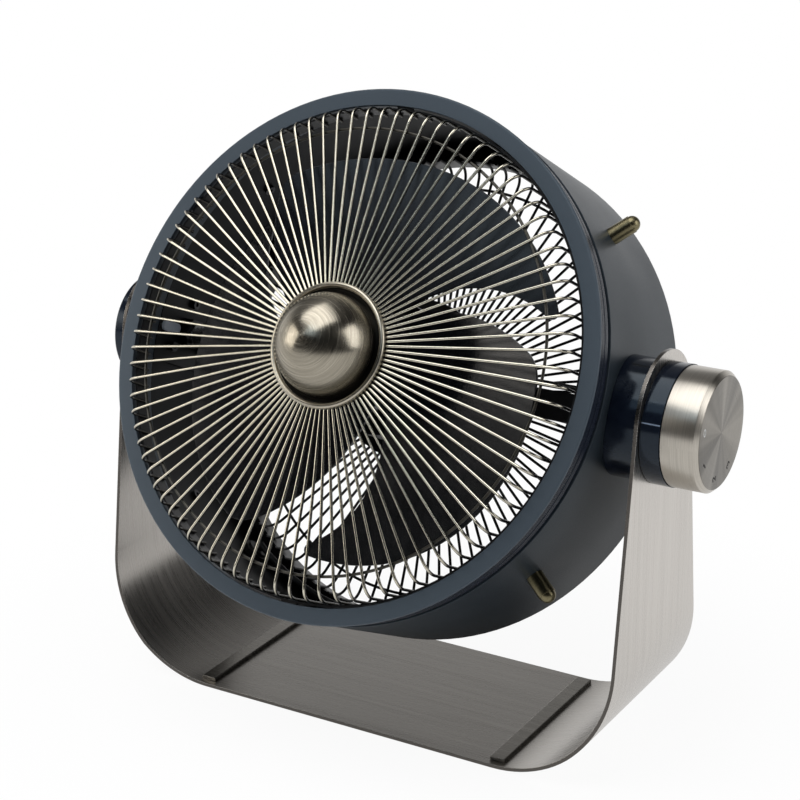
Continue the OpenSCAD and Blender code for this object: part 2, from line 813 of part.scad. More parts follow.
module motor_ear_places() {
    for (angle = motor_ear_angles) rotate([0, 0, angle]) translate([motor_ear_pitch_r, 0, 0]) children();
}

module bracket_foot() {
    difference() {
        intersection() {
            depth_tube(drum_inner_r, foot_inner_r, bezel_ahead - foot_front_reach, bracket_back,
                $fn = wide_fn);
            translate([0, -foot_half_height, at_depth(bracket_back)])
                cube([drum_r, 2 * foot_half_height, bracket_back]);
        }
        wall_cuts(foot_inner_r - foot_half_height / 2, drum_r);
    }
}

module motor_bracket() {
    color([0.07, 0.07, 0.08]) head_frame() {
        difference() {
            union() {
                intersection() {
                    translate([-drum_r, -strap_height / 2, at_depth(bracket_back)])
                        cube([2 * drum_r, strap_height, strap_thickness]);
                    depth_disc(foot_inner_r + foot_thickness / 2, bracket_depth - cut, bracket_back + cut,
                        $fn = wide_fn);
                }
                depth_disc(bracket_disc_r, bracket_depth, bracket_back, $fn = 96);
            }
            depth_disc(bracket_hole_r, bracket_depth - cut, bracket_back + cut);
            motor_ear_places() depth_disc(motor_bolt_r + weld_gap, bracket_depth - cut, bracket_back + cut);
            translate([harness_hole[0], harness_hole[1], 0])
                depth_disc(lead_hole_r, bracket_depth - cut, bracket_back + cut);
        }
        for (side = [-1, 1]) on_side(side) bracket_foot();
    }
}

module bearing_pocket(front, rear) {
    depth_tube(bearing_r + bearing_pocket_wall, bearing_r + weld_gap, front, rear);
}

module motor_front_shell() {
    inner_start = motor_start + motor_wall;
    color([0.16, 0.16, 0.17]) head_frame() difference() {
        union() {
            depth_tube(motor_r, motor_inner_r, motor_start, motor_middle, $fn = 96);
            depth_disc(motor_inner_r + motor_wall / 2, motor_start, inner_start, $fn = 96);
            bearing_pocket(inner_start - weld_overlap, inner_start + bearing_inset + bearing_width);
            difference() {
                motor_ear_places() depth_disc(motor_ear_r, motor_middle - front_ear_length,
                    motor_middle - weld_gap);
                depth_disc(motor_r - motor_wall / 2, motor_start, motor_middle + cut, $fn = 96);
            }
        }
        depth_disc(shaft_r + cut, motor_start - cut, inner_start + cut);
        motor_ear_places() depth_disc(motor_bolt_r + weld_gap, motor_start, motor_middle + cut);
    }
}

module motor_rear_shell() {
    inner_end = motor_end - motor_wall;
    color([0.16, 0.16, 0.17]) head_frame() difference() {
        union() {
            depth_tube(motor_r, motor_inner_r, motor_middle, motor_end, $fn = 96);
            depth_disc(motor_inner_r + motor_wall / 2, inner_end, motor_end, $fn = 96);
            bearing_pocket(inner_end - bearing_inset - bearing_width, inner_end + weld_overlap);
            difference() {
                motor_ear_places() depth_disc(motor_ear_r, motor_middle + weld_gap, motor_end - weld_gap);
                depth_disc(motor_r - motor_wall / 2, motor_middle - cut, motor_end + cut, $fn = 96);
            }
        }
        motor_ear_places() depth_disc(motor_bolt_r + weld_gap, motor_middle - cut, motor_end + cut);
        translate([harness_hole[0], harness_hole[1], 0])
            depth_disc(lead_hole_r, inner_end - cut, motor_end + cut);
    }
}

core_front = motor_middle - core_length / 2;
core_rear = motor_middle + core_length / 2;
winding_r = motor_inner_r - winding_width / 2 - 2 * cut;

module winding_bars(gap) {
    for (i = [0 : winding_bar_count - 1]) rotate([0, 0, (i + 0.5) * 360 / winding_bar_count])
        translate([winding_r, 0, 0]) depth_disc(winding_bar_r + gap, core_front - cut, core_rear + cut);
}

module stator_core() {
    color([0.5, 0.5, 0.52]) head_frame() difference() {
        depth_tube(motor_inner_r - weld_gap, rotor_r + core_gap, core_front, core_rear, $fn = 96);
        winding_bars(weld_gap);
    }
}

module stator_winding() {
    color([0.7, 0.35, 0.15]) head_frame() {
        depth_tube(winding_r + winding_width / 2, winding_r - winding_width / 2,
            core_front - weld_gap - winding_height, core_front - weld_gap);
        depth_tube(winding_r + winding_width / 2, winding_r - winding_width / 2,
            core_rear + weld_gap, core_rear + weld_gap + winding_height);
        winding_bars(0);
    }
}

module motor_bearings() {
    front_bearing_start = motor_start + motor_wall + bearing_inset;
    rear_bearing_start = motor_end - motor_wall - bearing_inset - bearing_width;
    color([0.7, 0.7, 0.7]) head_frame() for (start = [front_bearing_start, rear_bearing_start])
        depth_tube(bearing_r, shaft_r + running_gap, start, start + bearing_width);
}

module motor_bolts() {
    head_seat = motor_middle - front_ear_length;
    bolt_length = bracket_back - head_seat + cut;
    color([0.6, 0.6, 0.6]) head_frame() motor_ear_places()
        translate([0, 0, at_depth(head_seat)]) mirror([0, 0, 1])
            socket_screw(motor_bolt_r, bolt_length, motor_bolt_head_r, motor_bolt_head_height);
}

module capacitor() {
    half = capacitor_size / 2;
    color([0.85, 0.85, 0.82]) head_frame()
        translate([capacitor_x, 0, at_depth(bracket_back + weld_gap + capacitor_size[2])]) {
            translate([capacitor_corner_r - half[0], -half[1], 0])
                cube([capacitor_size[0] - 2 * capacitor_corner_r, capacitor_size[1], capacitor_size[2]]);
            translate([-half[0], capacitor_corner_r - half[1], 0])
                cube([capacitor_size[0], capacitor_size[1] - 2 * capacitor_corner_r, capacitor_size[2]]);
            for (sx = [-1, 1]) for (sy = [-1, 1])
                translate([sx * (half[0] - capacitor_corner_r), sy * (half[1] - capacitor_corner_r), 0])
                    cylinder(r = capacitor_corner_r, h = capacitor_size[2], $fn = 32);
        }
}

// Pivots

module boss(boss_r) {
    difference() {
        x_disc(boss_r, drum_r - boss_r / 2, boss_end_x, $fn = 96);
        translate([0, 0, -drum_r / 2]) cylinder(r = drum_r, h = drum_r, $fn = wide_fn);
        difference() {
            x_disc(boss_r - boss_wall, drum_r - boss_r, boss_end_x - boss_wall, $fn = 96);
            x_disc(boss_core_r, drum_r - boss_r - cut, boss_end_x);
        }
        x_disc(trunnion_r + seat_gap, drum_r - boss_r, boss_end_x + cut);
        for (angle = boss_screw_angles) around_pivot(angle, boss_screw_pitch_r)
            x_disc(boss_screw_r + weld_gap, drum_r - boss_r, boss_screw_seat_x + boss_screw_length + seat_gap);
        key_prism(drum_r - boss_r, drum_r + key_socket + seat_gap, seat_gap);
    }
}

module boss_right() {
    color([0.05, 0.07, 0.1]) head_frame() boss(boss_right_r);
}

module boss_left() {
    color([0.05, 0.07, 0.1]) head_frame() on_side(-1) boss(boss_left_r);
}

module boss_key() {
    key_prism(foot_inner_r - key_proud, drum_r + key_socket, 0);
}

module boss_key_right() {
    color([0.7, 0.72, 0.78]) head_frame() boss_key();
}

module boss_key_left() {
    color([0.7, 0.72, 0.78]) head_frame() on_side(-1) boss_key();
}

module boss_screws() {
    color([0.5, 0.5, 0.5]) head_frame() for (side = [-1, 1]) on_side(side)
        for (angle = boss_screw_angles) around_pivot(angle, boss_screw_pitch_r)
            translate([boss_screw_seat_x, 0, 0]) rotate([0, 90, 0])
                socket_screw(boss_screw_r, boss_screw_length, boss_screw_head_r, boss_screw_head_height);
}

module trunnion_right() {
    color([0.6, 0.6, 0.6]) head_frame() difference() {
        union() {
            x_disc(trunnion_r, trunnion_end_x, flange_end_x);
            x_disc(flange_r, flange_start_x, flange_end_x);
        }
        x_disc(trunnion_bore / 2, trunnion_end_x - cut, flange_end_x + cut);
        collar_screw_places() x_disc(collar_screw_r + weld_gap, flange_start_x - cut, flange_end_x + cut);
    }
}

module trunnion_left() {
    color([0.6, 0.6, 0.6]) head_frame() on_side(-1) {
        x_disc(trunnion_r, trunnion_end_x, flange_end_x);
        x_disc(flange_r, flange_start_x, flange_end_x);
    }
}

module trunnion_nuts() {
    color([0.6, 0.6, 0.6]) head_frame() for (side = [-1, 1]) on_side(side) difference() {
        x_disc(trunnion_nut_r, nut_seat_x - nut_thickness, nut_seat_x, $fn = 6);
        x_disc(trunnion_r + weld_gap, nut_seat_x - nut_thickness - cut, nut_seat_x + cut);
    }
}

module friction_washers() {
    color([0.9, 0.9, 0.85]) head_frame() for (side = [-1, 1]) on_side(side) {
        x_tube(washer_r, trunnion_r + seat_gap, boss_end_x + weld_gap, arm_inner_x - weld_gap);
        x_tube(washer_r, trunnion_r + seat_gap, arm_outer_x + weld_gap, flange_start_x - weld_gap);
    }
}

// Switch collar, switch, knob and left cap

module collar_screw_places() {
    for (angle = collar_screw_angles) around_pivot(angle, collar_screw_pitch_r) children();
}

module switch_collar() {
    end_wall_x = collar_end_x - collar_wall;
    color([0.05, 0.07, 0.1]) head_frame() difference() {
        union() {
            x_tube(switch_collar_r, switch_collar_r - collar_wall, collar_start_x, collar_end_x, $fn = 96);
            x_disc(switch_collar_r - collar_wall / 2, end_wall_x, collar_end_x, $fn = 96);
            collar_screw_places() x_disc(collar_post_r, flange_end_x + weld_gap, end_wall_x + collar_wall / 2);
        }
        x_disc(switch_neck_r + seat_gap, end_wall_x - cut, collar_end_x + cut);
        collar_screw_places() x_disc(collar_screw_r + seat_gap, flange_end_x, collar_end_x + cut);
        around_pivot(index_angle, switch_collar_r - index_depth) rotate([-index_angle, 0, 0])
            translate([collar_start_x - cut, -index_width / 2, 0])
                cube([switch_collar_length + 2 * cut, index_width, index_depth + cut]);
    }
}

module collar_screws() {
    color([0.5, 0.5, 0.5]) head_frame() collar_screw_places() translate([collar_end_x, 0, 0])
        rotate([0, -90, 0]) socket_screw(collar_screw_r, collar_screw_length, collar_screw_head_r,
            collar_screw_head_height);
}

module rotary_switch() {
    body_start = flange_end_x + weld_gap;
    body_end = collar_end_x - collar_wall - weld_gap;
    color([0.15, 0.15, 0.16]) head_frame() difference() {
        union() {
            x_disc(switch_body_r, body_start, body_end);
            x_disc(switch_neck_r, body_end - weld_overlap, collar_end_x + switch_neck_length);
        }
        x_disc(switch_shaft_r + running_gap, body_end - 3 * cut, collar_end_x + switch_neck_length + cut);
    }
}

module switch_nut() {
    color([0.6, 0.6, 0.6]) head_frame() difference() {
        x_disc(switch_nut_r, collar_end_x, collar_end_x + switch_nut_thickness, $fn = 6);
        x_disc(switch_neck_r + weld_gap, collar_end_x - cut, collar_end_x + switch_nut_thickness + cut);
    }
}

module switch_shaft_solid(end) {
    start = collar_end_x - collar_wall - 3 * cut;
    difference() {
        x_disc(switch_shaft_r, start, end);
        translate([knob_core_start_x, switch_shaft_r - shaft_flat_depth, -switch_shaft_r])
            cube([knob_length, shaft_flat_depth + cut, 2 * switch_shaft_r]);
    }
}

module switch_shaft() {
    color([0.8, 0.8, 0.78]) head_frame() switch_shaft_solid(knob_end_x - knob_face_thickness);
}

module knob() {
    cavity_end_x = knob_end_x - knob_face_thickness;
    color([0.72, 0.69, 0.64]) head_frame() difference() {
        translate([knob_start_x, 0, 0]) rotate([0, 90, 0]) rotate_extrude($fn = 96) difference() {
            polygon([[0, 0], [knob_r, 0], [knob_r, knob_length - knob_chamfer],
                [knob_r - knob_chamfer, knob_length], [0, knob_length]]);
            translate([knob_core_r, -cut]) square([knob_r - knob_wall - knob_core_r,
                knob_length - knob_face_thickness + cut]);
            translate([-cut, -cut]) square([knob_core_r + 2 * cut, knob_core_start_x - knob_start_x + cut]);
        }
        switch_shaft_solid(cavity_end_x);
    }
}

module left_pivot_cap() {
    color([0.06, 0.08, 0.11]) head_frame() on_side(-1) translate([cap_start_x, 0, 0]) rotate([0, 90, 0])
        rotate_extrude($fn = 96) {
            translate([cap_r - cap_wall, 0]) square([cap_wall, cap_length - cap_rim_r]);
            translate([0, cap_length - cap_wall]) square([cap_r - cap_rim_r, cap_wall]);
            translate([cap_r - cap_rim_r, cap_length - cap_rim_r]) circle(r = cap_rim_r, $fn = 24);
            translate([flange_r + weld_gap, flange_start_x - cap_start_x])
                square([cap_r - cap_wall - flange_r, flange_thickness]);
        }
}

// Cord pegs

module peg() {
    dome_r_here = peg_r - peg_dome_step;
    body_end = drum_r + peg_length - dome_r_here;
    difference() {
        union() {
            x_disc(peg_r, drum_r - peg_r, body_end, $fn = 48);
            translate([body_end, 0, 0]) sphere(r = dome_r_here, $fn = 48);
        }
        translate([0, 0, -drum_r / 2]) cylinder(r = drum_r, h = drum_r, $fn = wide_fn);
        x_disc(peg_screw_r + weld_gap, drum_r - peg_r - cut, drum_inner_r + peg_screw_length + seat_gap);
    }
}

module peg_right_upper() {
    color([0.5, 0.45, 0.3]) head_frame() rotate([0, 0, peg_angle]) peg();
}

module peg_right_lower() {
    color([0.5, 0.45, 0.3]) head_frame() rotate([0, 0, -peg_angle]) peg();
}

module peg_left_upper() {
    color([0.5, 0.45, 0.3]) head_frame() rotate([0, 0, 180 - peg_angle]) peg();
}

module peg_left_lower() {
    color([0.5, 0.45, 0.3]) head_frame() rotate([0, 0, 180 + peg_angle]) peg();
}

module peg_screws() {
    seat_x = sqrt(pow(drum_inner_r, 2) - pow(peg_screw_head_r, 2));
    color([0.5, 0.5, 0.5]) head_frame() for (side = [-1, 1]) peg_places(side)
        translate([seat_x, 0, 0]) rotate([0, 90, 0])
            socket_screw(peg_screw_r, peg_screw_length, peg_screw_head_r, peg_screw_head_height);
}

// Inner leads and the cord's inlet

harness_side = strap_height / 2 + 2 * lead_r;
harness_hole = [38, harness_side];
behind_strap = at_depth(bracket_back) - 2 * lead_r;

module motor_lead() {
    color([0.12, 0.12, 0.12]) head_frame() lead_path([
        [flange_end_x, lead_offset, 0],
        [harness_exit_x, lead_offset, 0],
        [harness_exit_x, harness_side, -harness_side],
        [harness_exit_x, harness_side, behind_strap],
        [harness_hole[0], harness_hole[1], behind_strap],
        [harness_hole[0], harness_hole[1], at_depth(motor_end - motor_wall)]]);
}

module supply_lead() {
    z = at_depth(gland_depth);
    end = [lead_ring_r * cos(supply_end_angle), lead_ring_r * sin(supply_end_angle), z];
    color([0.12, 0.12, 0.12]) head_frame() {
        gland_place() {
            x_disc(lead_r, lead_ring_r, drum_inner_r, $fn = 24);
            translate([lead_ring_r, 0, 0]) sphere(r = lead_joint_share * lead_r, $fn = 24);
        }
        translate([0, 0, z]) rotate([0, 0, gland_angle])
            rotate_extrude(angle = supply_end_angle - gland_angle, $fn = wide_fn)
                translate([lead_ring_r, 0]) circle(r = lead_r, $fn = 24);
        translate(end) sphere(r = lead_joint_share * lead_r, $fn = 24);
        lead_path([end, [harness_exit_x, -harness_side, -harness_side],
            [harness_exit_x, -lead_offset, 0], [flange_end_x, -lead_offset, 0]]);
    }
}

module cord_gland() {
    flange_seat = sqrt(pow(drum_r, 2) - pow(gland_flange_r, 2));
    color([0.08, 0.08, 0.08]) head_frame() gland_place() difference() {
        union() {
            difference() {
                x_disc(gland_flange_r, flange_seat - cut, drum_r + gland_flange_height);
                translate([0, 0, -drum_r / 2]) cylinder(r = drum_r, h = drum_r, $fn = wide_fn);
            }
            x_disc(gland_nose_r, drum_r + gland_flange_height - cut,
                drum_r + gland_flange_height + gland_nose_height);
            x_disc(gland_thread_r, drum_inner_r - gland_nut_thickness - gland_tail, drum_r + cut);
        }
        x_disc(gland_bore_r, drum_inner_r - gland_nut_thickness - gland_tail - cut,
            drum_r + gland_flange_height + gland_nose_height + cut);
    }
}

module gland_nut() {
    seat_x = sqrt(pow(drum_inner_r, 2) - pow(gland_nut_r, 2));
    color([0.1, 0.1, 0.1]) head_frame() gland_place() difference() {
        x_disc(gland_nut_r, seat_x - gland_nut_thickness, seat_x, $fn = 6);
        x_disc(gland_thread_r + weld_gap, seat_x - gland_nut_thickness - cut, seat_x + cut);
    }
}

// Rotor

module blade_plan() {
    difference() {
        intersection() {
            circle(r = blade_tip_r, $fn = wide_fn);
            translate(front_edge_centre) circle(r = front_edge_r, $fn = wide_fn);
        }
        translate(rear_edge_centre) circle(r = rear_edge_r, $fn = wide_fn);
        blade_corner(rear_edge_centre, rear_edge_r, blade_point_round, 1);
        blade_corner(front_edge_centre, front_edge_r, blade_shoulder_round, -1);
    }
}

// What is cut off a corner between the tip circle and an edge circle, to leave it rounded.
// The blade lies outside the edge circle where side is 1, and inside it where side is -1
module blade_corner(edge_centre, edge_r, round_r, side) {
    inset = round_r - weld_gap;
    middle = corner_middle(edge_centre, edge_r + side * inset, blade_tip_r - inset);
    outward = middle / norm(middle);
    sideways = side * (edge_centre - middle) / norm(edge_centre - middle);
    difference() {
        polygon([
            middle,
            middle + 2 * round_r * outward,
            middle + corner_reach_share * round_r * (outward + sideways),
            middle + 2 * round_r * sideways
        ]);
        translate(middle) circle(r = round_r, $fn = 96);
    }
}

// A curved sheet across the blade: its middle line is radial, and it rises towards the front edge
module blade_sheet() {
    rotate([0, 0, blade_middle_angle]) translate([0, 0, at_depth(blade_middle)]) rotate([blade_pitch, 0, 0])
        translate([-blade_tip_r, 0, blade_curve]) rotate([0, 90, 0]) difference() {
            cylinder(r = blade_curve + blade_thickness / 2, h = 2 * blade_tip_r, $fn = 360);
            translate([0, 0, -cut])
                cylinder(r = blade_curve - blade_thickness / 2, h = 2 * blade_tip_r + 2 * cut, $fn = 360);
        }
}

module fan_blade() {
    hub_end = hub_start + hub_length;
    color([0.13, 0.14, 0.16]) head_frame() difference() {
        union() {
            difference() {
                for (i = [0 : blade_count - 1]) rotate([0, 0, i * 360 / blade_count]) intersection() {
                    translate([0, 0, at_depth(hub_end)]) linear_extrude(2 * hub_length) blade_plan();
                    blade_sheet();
                }
                depth_disc(hub_r - hub_wall / 2, hub_start - hub_length, hub_end + hub_length);
            }
            depth_tube(hub_r, hub_r - hub_wall, hub_start, hub_end, $fn = 96);
            depth_disc(hub_r - hub_wall / 2, hub_start, hub_start + hub_wall, $fn = 96);
            depth_disc(hub_core_r, hub_start, hub_end);
        }
        depth_disc(shaft_r + weld_gap, hub_start - cut, hub_end + cut);
    }
}

module blade_nut() {
    color([0.6, 0.6, 0.6]) head_frame() difference() {
        depth_disc(blade_nut_r, hub_start - blade_nut_thickness, hub_start, $fn = 6);
        depth_disc(shaft_r + weld_gap, hub_start - blade_nut_thickness - cut, hub_start + cut);
    }
}

module motor_shaft() {
    color([0.75, 0.75, 0.75]) head_frame()
        depth_disc(shaft_r, shaft_start, motor_end - motor_wall - moving_gap);
}

module rotor_core() {
    color([0.55, 0.55, 0.57]) head_frame() depth_tube(rotor_r, shaft_r + weld_gap, core_front,
        core_rear);
}

stand_frame();
base_pad();
base_bar_right();
base_bar_left();
base_bar_screws();
arm_bush_right();
arm_bush_left();
drum_shell();
front_bezel();
trim_band();
front_grille();
front_grille_ring();
front_grille_band();
front_grille_screws();
grille_collar();
dome_cap();
grille_back_plate();
dome_screw();
rear_grille();
rear_grille_ring();
rear_grille_band();
rear_grille_disc();
rear_grille_screws();
motor_bracket();
motor_front_shell();
motor_rear_shell();
stator_core();
stator_winding();
motor_bearings();
motor_bolts();
capacitor();
boss_right();
boss_left();
boss_key_right();
boss_key_left();
boss_screws();
trunnion_right();
trunnion_left();
trunnion_nuts();
friction_washers();
switch_collar();
collar_screws();
rotary_switch();
switch_nut();
left_pivot_cap();
peg_right_upper();
peg_right_lower();
peg_left_upper();
peg_left_lower();
peg_screws();
motor_lead();
supply_lead();
cord_gland();
gland_nut();
fan_blade();
blade_nut();
motor_shaft();
rotor_core();
knob();
switch_shaft();
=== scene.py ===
import bmesh
import bpy
import json
from math import cos, hypot, pi, radians, sin
from mathutils import Matrix, Vector


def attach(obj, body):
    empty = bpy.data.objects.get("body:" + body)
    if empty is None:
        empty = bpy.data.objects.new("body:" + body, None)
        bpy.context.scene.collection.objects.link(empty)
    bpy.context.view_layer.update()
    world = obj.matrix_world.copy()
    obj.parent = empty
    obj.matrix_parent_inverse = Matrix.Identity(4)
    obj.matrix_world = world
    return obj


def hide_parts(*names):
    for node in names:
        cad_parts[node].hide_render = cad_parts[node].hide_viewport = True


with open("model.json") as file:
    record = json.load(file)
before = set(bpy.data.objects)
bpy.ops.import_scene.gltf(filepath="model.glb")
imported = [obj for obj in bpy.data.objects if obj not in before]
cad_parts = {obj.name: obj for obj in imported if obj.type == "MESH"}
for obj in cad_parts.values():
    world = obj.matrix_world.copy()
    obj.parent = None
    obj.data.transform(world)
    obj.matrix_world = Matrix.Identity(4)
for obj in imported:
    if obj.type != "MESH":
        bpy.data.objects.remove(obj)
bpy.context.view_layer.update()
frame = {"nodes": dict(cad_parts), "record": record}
NODES = frame["nodes"]
RECORD = frame["record"]
JOINTS = {joint["name"]: joint for joint in RECORD["behaviour"]["joints"]}

# Outlines and strokes are in mm and divided by this. The fan's other lengths are in metres.
MM = 1000
WHITE = (1, 1, 1)

# Camera, solved from the photo, with its lens and sensor in mm
CAMERA_PLACE = (0.696455, -1.168648, 0.706218)
CAMERA_YAW = radians(30.637)
CAMERA_PITCH = radians(19.653)
CAMERA_ROLL = radians(-0.275)
LENS = 94.08
SENSOR_WIDTH = 36
NEAR_CLIP = 0.05

# Head frame: x to the knob, y up, z forward, origin on the tilt axis
TILT = radians(27.1)
PIVOT = Vector(JOINTS["head_tilt"]["pos_m"])
HEAD = Matrix.Translation(PIVOT) @ Matrix.Rotation(pi / 2 - TILT, 4, "X")
HEAD_FORWARD = (0, -cos(TILT), sin(TILT))
KNOB_AXIS = (1, 0, 0)
ALONG_KNOB = Matrix.Translation(PIVOT) @ Matrix.Rotation(pi / 2, 4, "Y")
# From the tilt axis forward to the front of the bezel
BEZEL_AHEAD = 0.0706

# Most of a noise texture's values lie between these two
NOISE_LOW = 0.3
NOISE_HIGH = 0.7


def add_camera():
    """Yaw turns the camera from the front to the knob's side, pitch raises it, roll tips it."""
    level = cos(CAMERA_PITCH)
    back = Vector((sin(CAMERA_YAW) * level, -cos(CAMERA_YAW) * level, sin(CAMERA_PITCH)))
    level_right = Vector((cos(CAMERA_YAW), sin(CAMERA_YAW), 0))
    level_up = back.cross(level_right)
    right = cos(CAMERA_ROLL) * level_right + sin(CAMERA_ROLL) * level_up
    up = cos(CAMERA_ROLL) * level_up - sin(CAMERA_ROLL) * level_right
    data = bpy.data.cameras.new("camera")
    data.lens = LENS
    data.sensor_width = SENSOR_WIDTH
    data.clip_start = NEAR_CLIP
    camera = bpy.data.objects.new("camera", data)
    camera.matrix_world = Matrix((
        (right.x, up.x, back.x, CAMERA_PLACE[0]),
        (right.y, up.y, back.y, CAMERA_PLACE[1]),
        (right.z, up.z, back.z, CAMERA_PLACE[2]),
        (0, 0, 0, 1)))
    bpy.context.scene.collection.objects.link(camera)
    bpy.context.scene.camera = camera


def rgba(colour):
    return (*colour, 1)


def grey(level):
    return (level, level, level)


class Shade:
    """Node tree of a material or the world, with short calls for its nodes."""

    def __init__(self, tree):
        self.tree = tree

    def put(self, socket, value):
        """Link another node's output to the socket, or set the socket itself."""
        if isinstance(value, bpy.types.NodeSocket):
            self.tree.links.new(value, socket)
        else:
            socket.default_value = value

    def node(self, kind, *values, **settings):
        """Add a node with its settings, and fill its inputs in their order."""
        new = self.tree.nodes.new(kind)
        for setting, value in settings.items():
            setattr(new, setting, value)
        for socket, value in zip(new.inputs, values):
            self.put(socket, value)
        return new

    def fill(self, target, **values):
        """Fill a node's inputs by their names. An underscore stands for a blank."""
        for name, value in values.items():
            self.put(target.inputs[name.replace("_", " ")], value)

    def math(self, operation, *values):
        return self.node("ShaderNodeMath", *values, operation=operation).outputs[0]

    def vector_math(self, operation, *values):
        """A number for a length or a dot product, else a vector."""
        new = self.node("ShaderNodeVectorMath", *values, operation=operation)
        return new.outputs["Value" if operation in ("LENGTH", "DOT_PRODUCT") else "Vector"]

    def split(self, vector):
        return self.node("ShaderNodeSeparateXYZ", vector).outputs

    def join(self, x, y, z):
        return self.node("ShaderNodeCombineXYZ", x, y, z).outputs[0]

    def span(self, value, start, end, first=0.0, last=1.0, kind="LINEAR"):
        """Map start to first and end to last, and hold both ends."""
        new = self.node("ShaderNodeMapRange", value, start, end, first, last, interpolation_type=kind)
        return new.outputs[0]

    def mix_shaders(self, factor, one, other):
        return self.node("ShaderNodeMixShader", factor, one, other).outputs[0]

    def seen_rays(self):
        """1 for camera, glossy and transmission rays, and 1 for camera rays alone."""
        path = self.node("ShaderNodeLightPath").outputs
        camera = path["Is Camera Ray"]
        seen = self.math("MAXIMUM", camera, path["Is Glossy Ray"])
        return self.math("MAXIMUM", seen, path["Is Transmission Ray"]), camera


class Paint(Shade):
    """A new node material."""

    def __init__(self, name):
        self.material = bpy.data.materials.new(name)
        self.material.use_nodes = True
        super().__init__(self.material.node_tree)
        self.shader = self.tree.nodes["Principled BSDF"]

    def place(self):
        """Place in the object's own frame, in metres."""
        return self.node("ShaderNodeTexCoord").outputs["Object"]

    def from_pivot(self):
        return self.vector_math("SUBTRACT", self.place(), tuple(PIVOT))

    def head_place(self):
        """Place in the head frame."""
        new = self.node("ShaderNodeMapping", self.from_pivot(), vector_type="POINT")
        new.inputs["Rotation"].default_value = (TILT - pi / 2, 0, 0)
        return new.outputs[0]

    def noise(self, vector, scale, detail, rough):
        new = self.node("ShaderNodeTexNoise")
        self.fill(new, Vector=vector, Scale=scale, Detail=detail, Roughness=rough)
        return new.outputs["Fac"]

    def cells(self, vector, scale):
        new = self.node("ShaderNodeTexVoronoi")
        self.fill(new, Vector=vector, Scale=scale)
        return new.outputs["Distance"]

    def ramp(self, factor, *stops):
        """Levels of grey, each stop a place and a level."""
        new = self.node("ShaderNodeValToRGB", factor)
        for element, (place, level) in zip(new.color_ramp.elements, stops):
            element.position = place
            element.color = rgba(grey(level))
        return new.outputs[0]

    def mix(self, factor, one, other, blend="MIX"):
        """Mix two colours. In a colour mix, inputs 6 and 7 and output 2 are the colours."""
        new = self.node("ShaderNodeMix", factor, data_type="RGBA", blend_type=blend)
        for socket, colour in ((new.inputs[6], one), (new.inputs[7], other)):
            self.put(socket, colour if isinstance(colour, bpy.types.NodeSocket) else rgba(colour))
        return new.outputs[2]

    def blend(self, one, other, share):
        """A share of one value and the rest of the other."""
        return self.math("MULTIPLY_ADD", one, share, self.math("MULTIPLY", other, 1 - share))

    def between(self, tone, low, high, start=NOISE_LOW, end=NOISE_HIGH):
        """The low colour up to the start of the tone, the high colour from its end."""
        return self.mix(self.ramp(tone, (start, 0.0), (end, 1.0)), low, high)

    def roughness(self, tone, at_low, at_high):
        return self.span(tone, NOISE_LOW, NOISE_HIGH, at_low, at_high)

    def bump(self, height, distance, strength, edge=0.0):
        """Relief, on edges that look rounded to a radius of edge."""
        new = self.node("ShaderNodeBump")
        self.fill(new, Strength=strength, Distance=distance, Height=height)
        if edge:
            self.put(new.inputs["Normal"], self.node("ShaderNodeBevel", edge, samples=4).outputs[0])
        return new.outputs[0]

    def done(self, **values):
        self.fill(self.shader, **values)
        return self.material


# Powder coat: its gloss, its flecks' share and how much paler they are, and the painted shade inside the
# drum, near black and duller
PAINT_SHINE = 0.25
PAINT_GLOSS = (0.8, 0.9, 1.0)
FLECK_SHARE = 0.22
FLECK_PALER = 2.2
INSIDE_SHADE_SHINE = 0.1
INSIDE_SHADE_LOW = (0.004, 0.0038, 0.0038)
INSIDE_SHADE_HIGH = (0.016, 0.0145, 0.014)


def coat_paint(name, low, high, rough, grain, bump, edge=0.0004, inside=None):
    """Powder coat: fine grain, tiny flecks and slow unevenness. Within the radius inside it is painted
    shade, near black and duller, for the shade inside the drum.
    """
    paint = Paint(name)
    place = paint.head_place()
    fine = paint.noise(place, scale=grain, detail=3, rough=0.6)
    flecks = paint.ramp(paint.cells(place, scale=grain * 0.6), (0.0, 1.0), (0.25, 0.0))
    slow = paint.noise(place, scale=14, detail=2, rough=0.5)
    tone = paint.blend(fine, slow, share=0.55)
    colour = paint.between(tone, low, high)
    fleck_colour = tuple(min(1, part * FLECK_PALER) for part in high)
    colour = paint.mix(paint.math("MULTIPLY", flecks, FLECK_SHARE), colour, fleck_colour)
    shine = PAINT_SHINE
    # Painted shade: the drum's inner wall is painted near black where shade falls inside the drum
    if inside:
        x, y, _ = paint.split(place)
        in_painted_shade = paint.math("LESS_THAN", paint.vector_math("LENGTH", paint.join(x, y, 0.0)), inside)
        colour = paint.mix(in_painted_shade, colour, paint.mix(tone, INSIDE_SHADE_LOW, INSIDE_SHADE_HIGH))
        shine = paint.span(in_painted_shade, start=0.0, end=1.0, first=PAINT_SHINE, last=INSIDE_SHADE_SHINE)
    height = paint.math("MULTIPLY_ADD", fine, 0.8, paint.math("MULTIPLY", slow, 0.3))
    return paint.done(
        Base_Color=colour, Roughness=paint.roughness(tone, rough + 0.07, rough - 0.05),
        Specular_IOR_Level=shine, Specular_Tint=rgba(PAINT_GLOSS),
        Normal=paint.bump(height, distance=bump, strength=0.5, edge=edge))


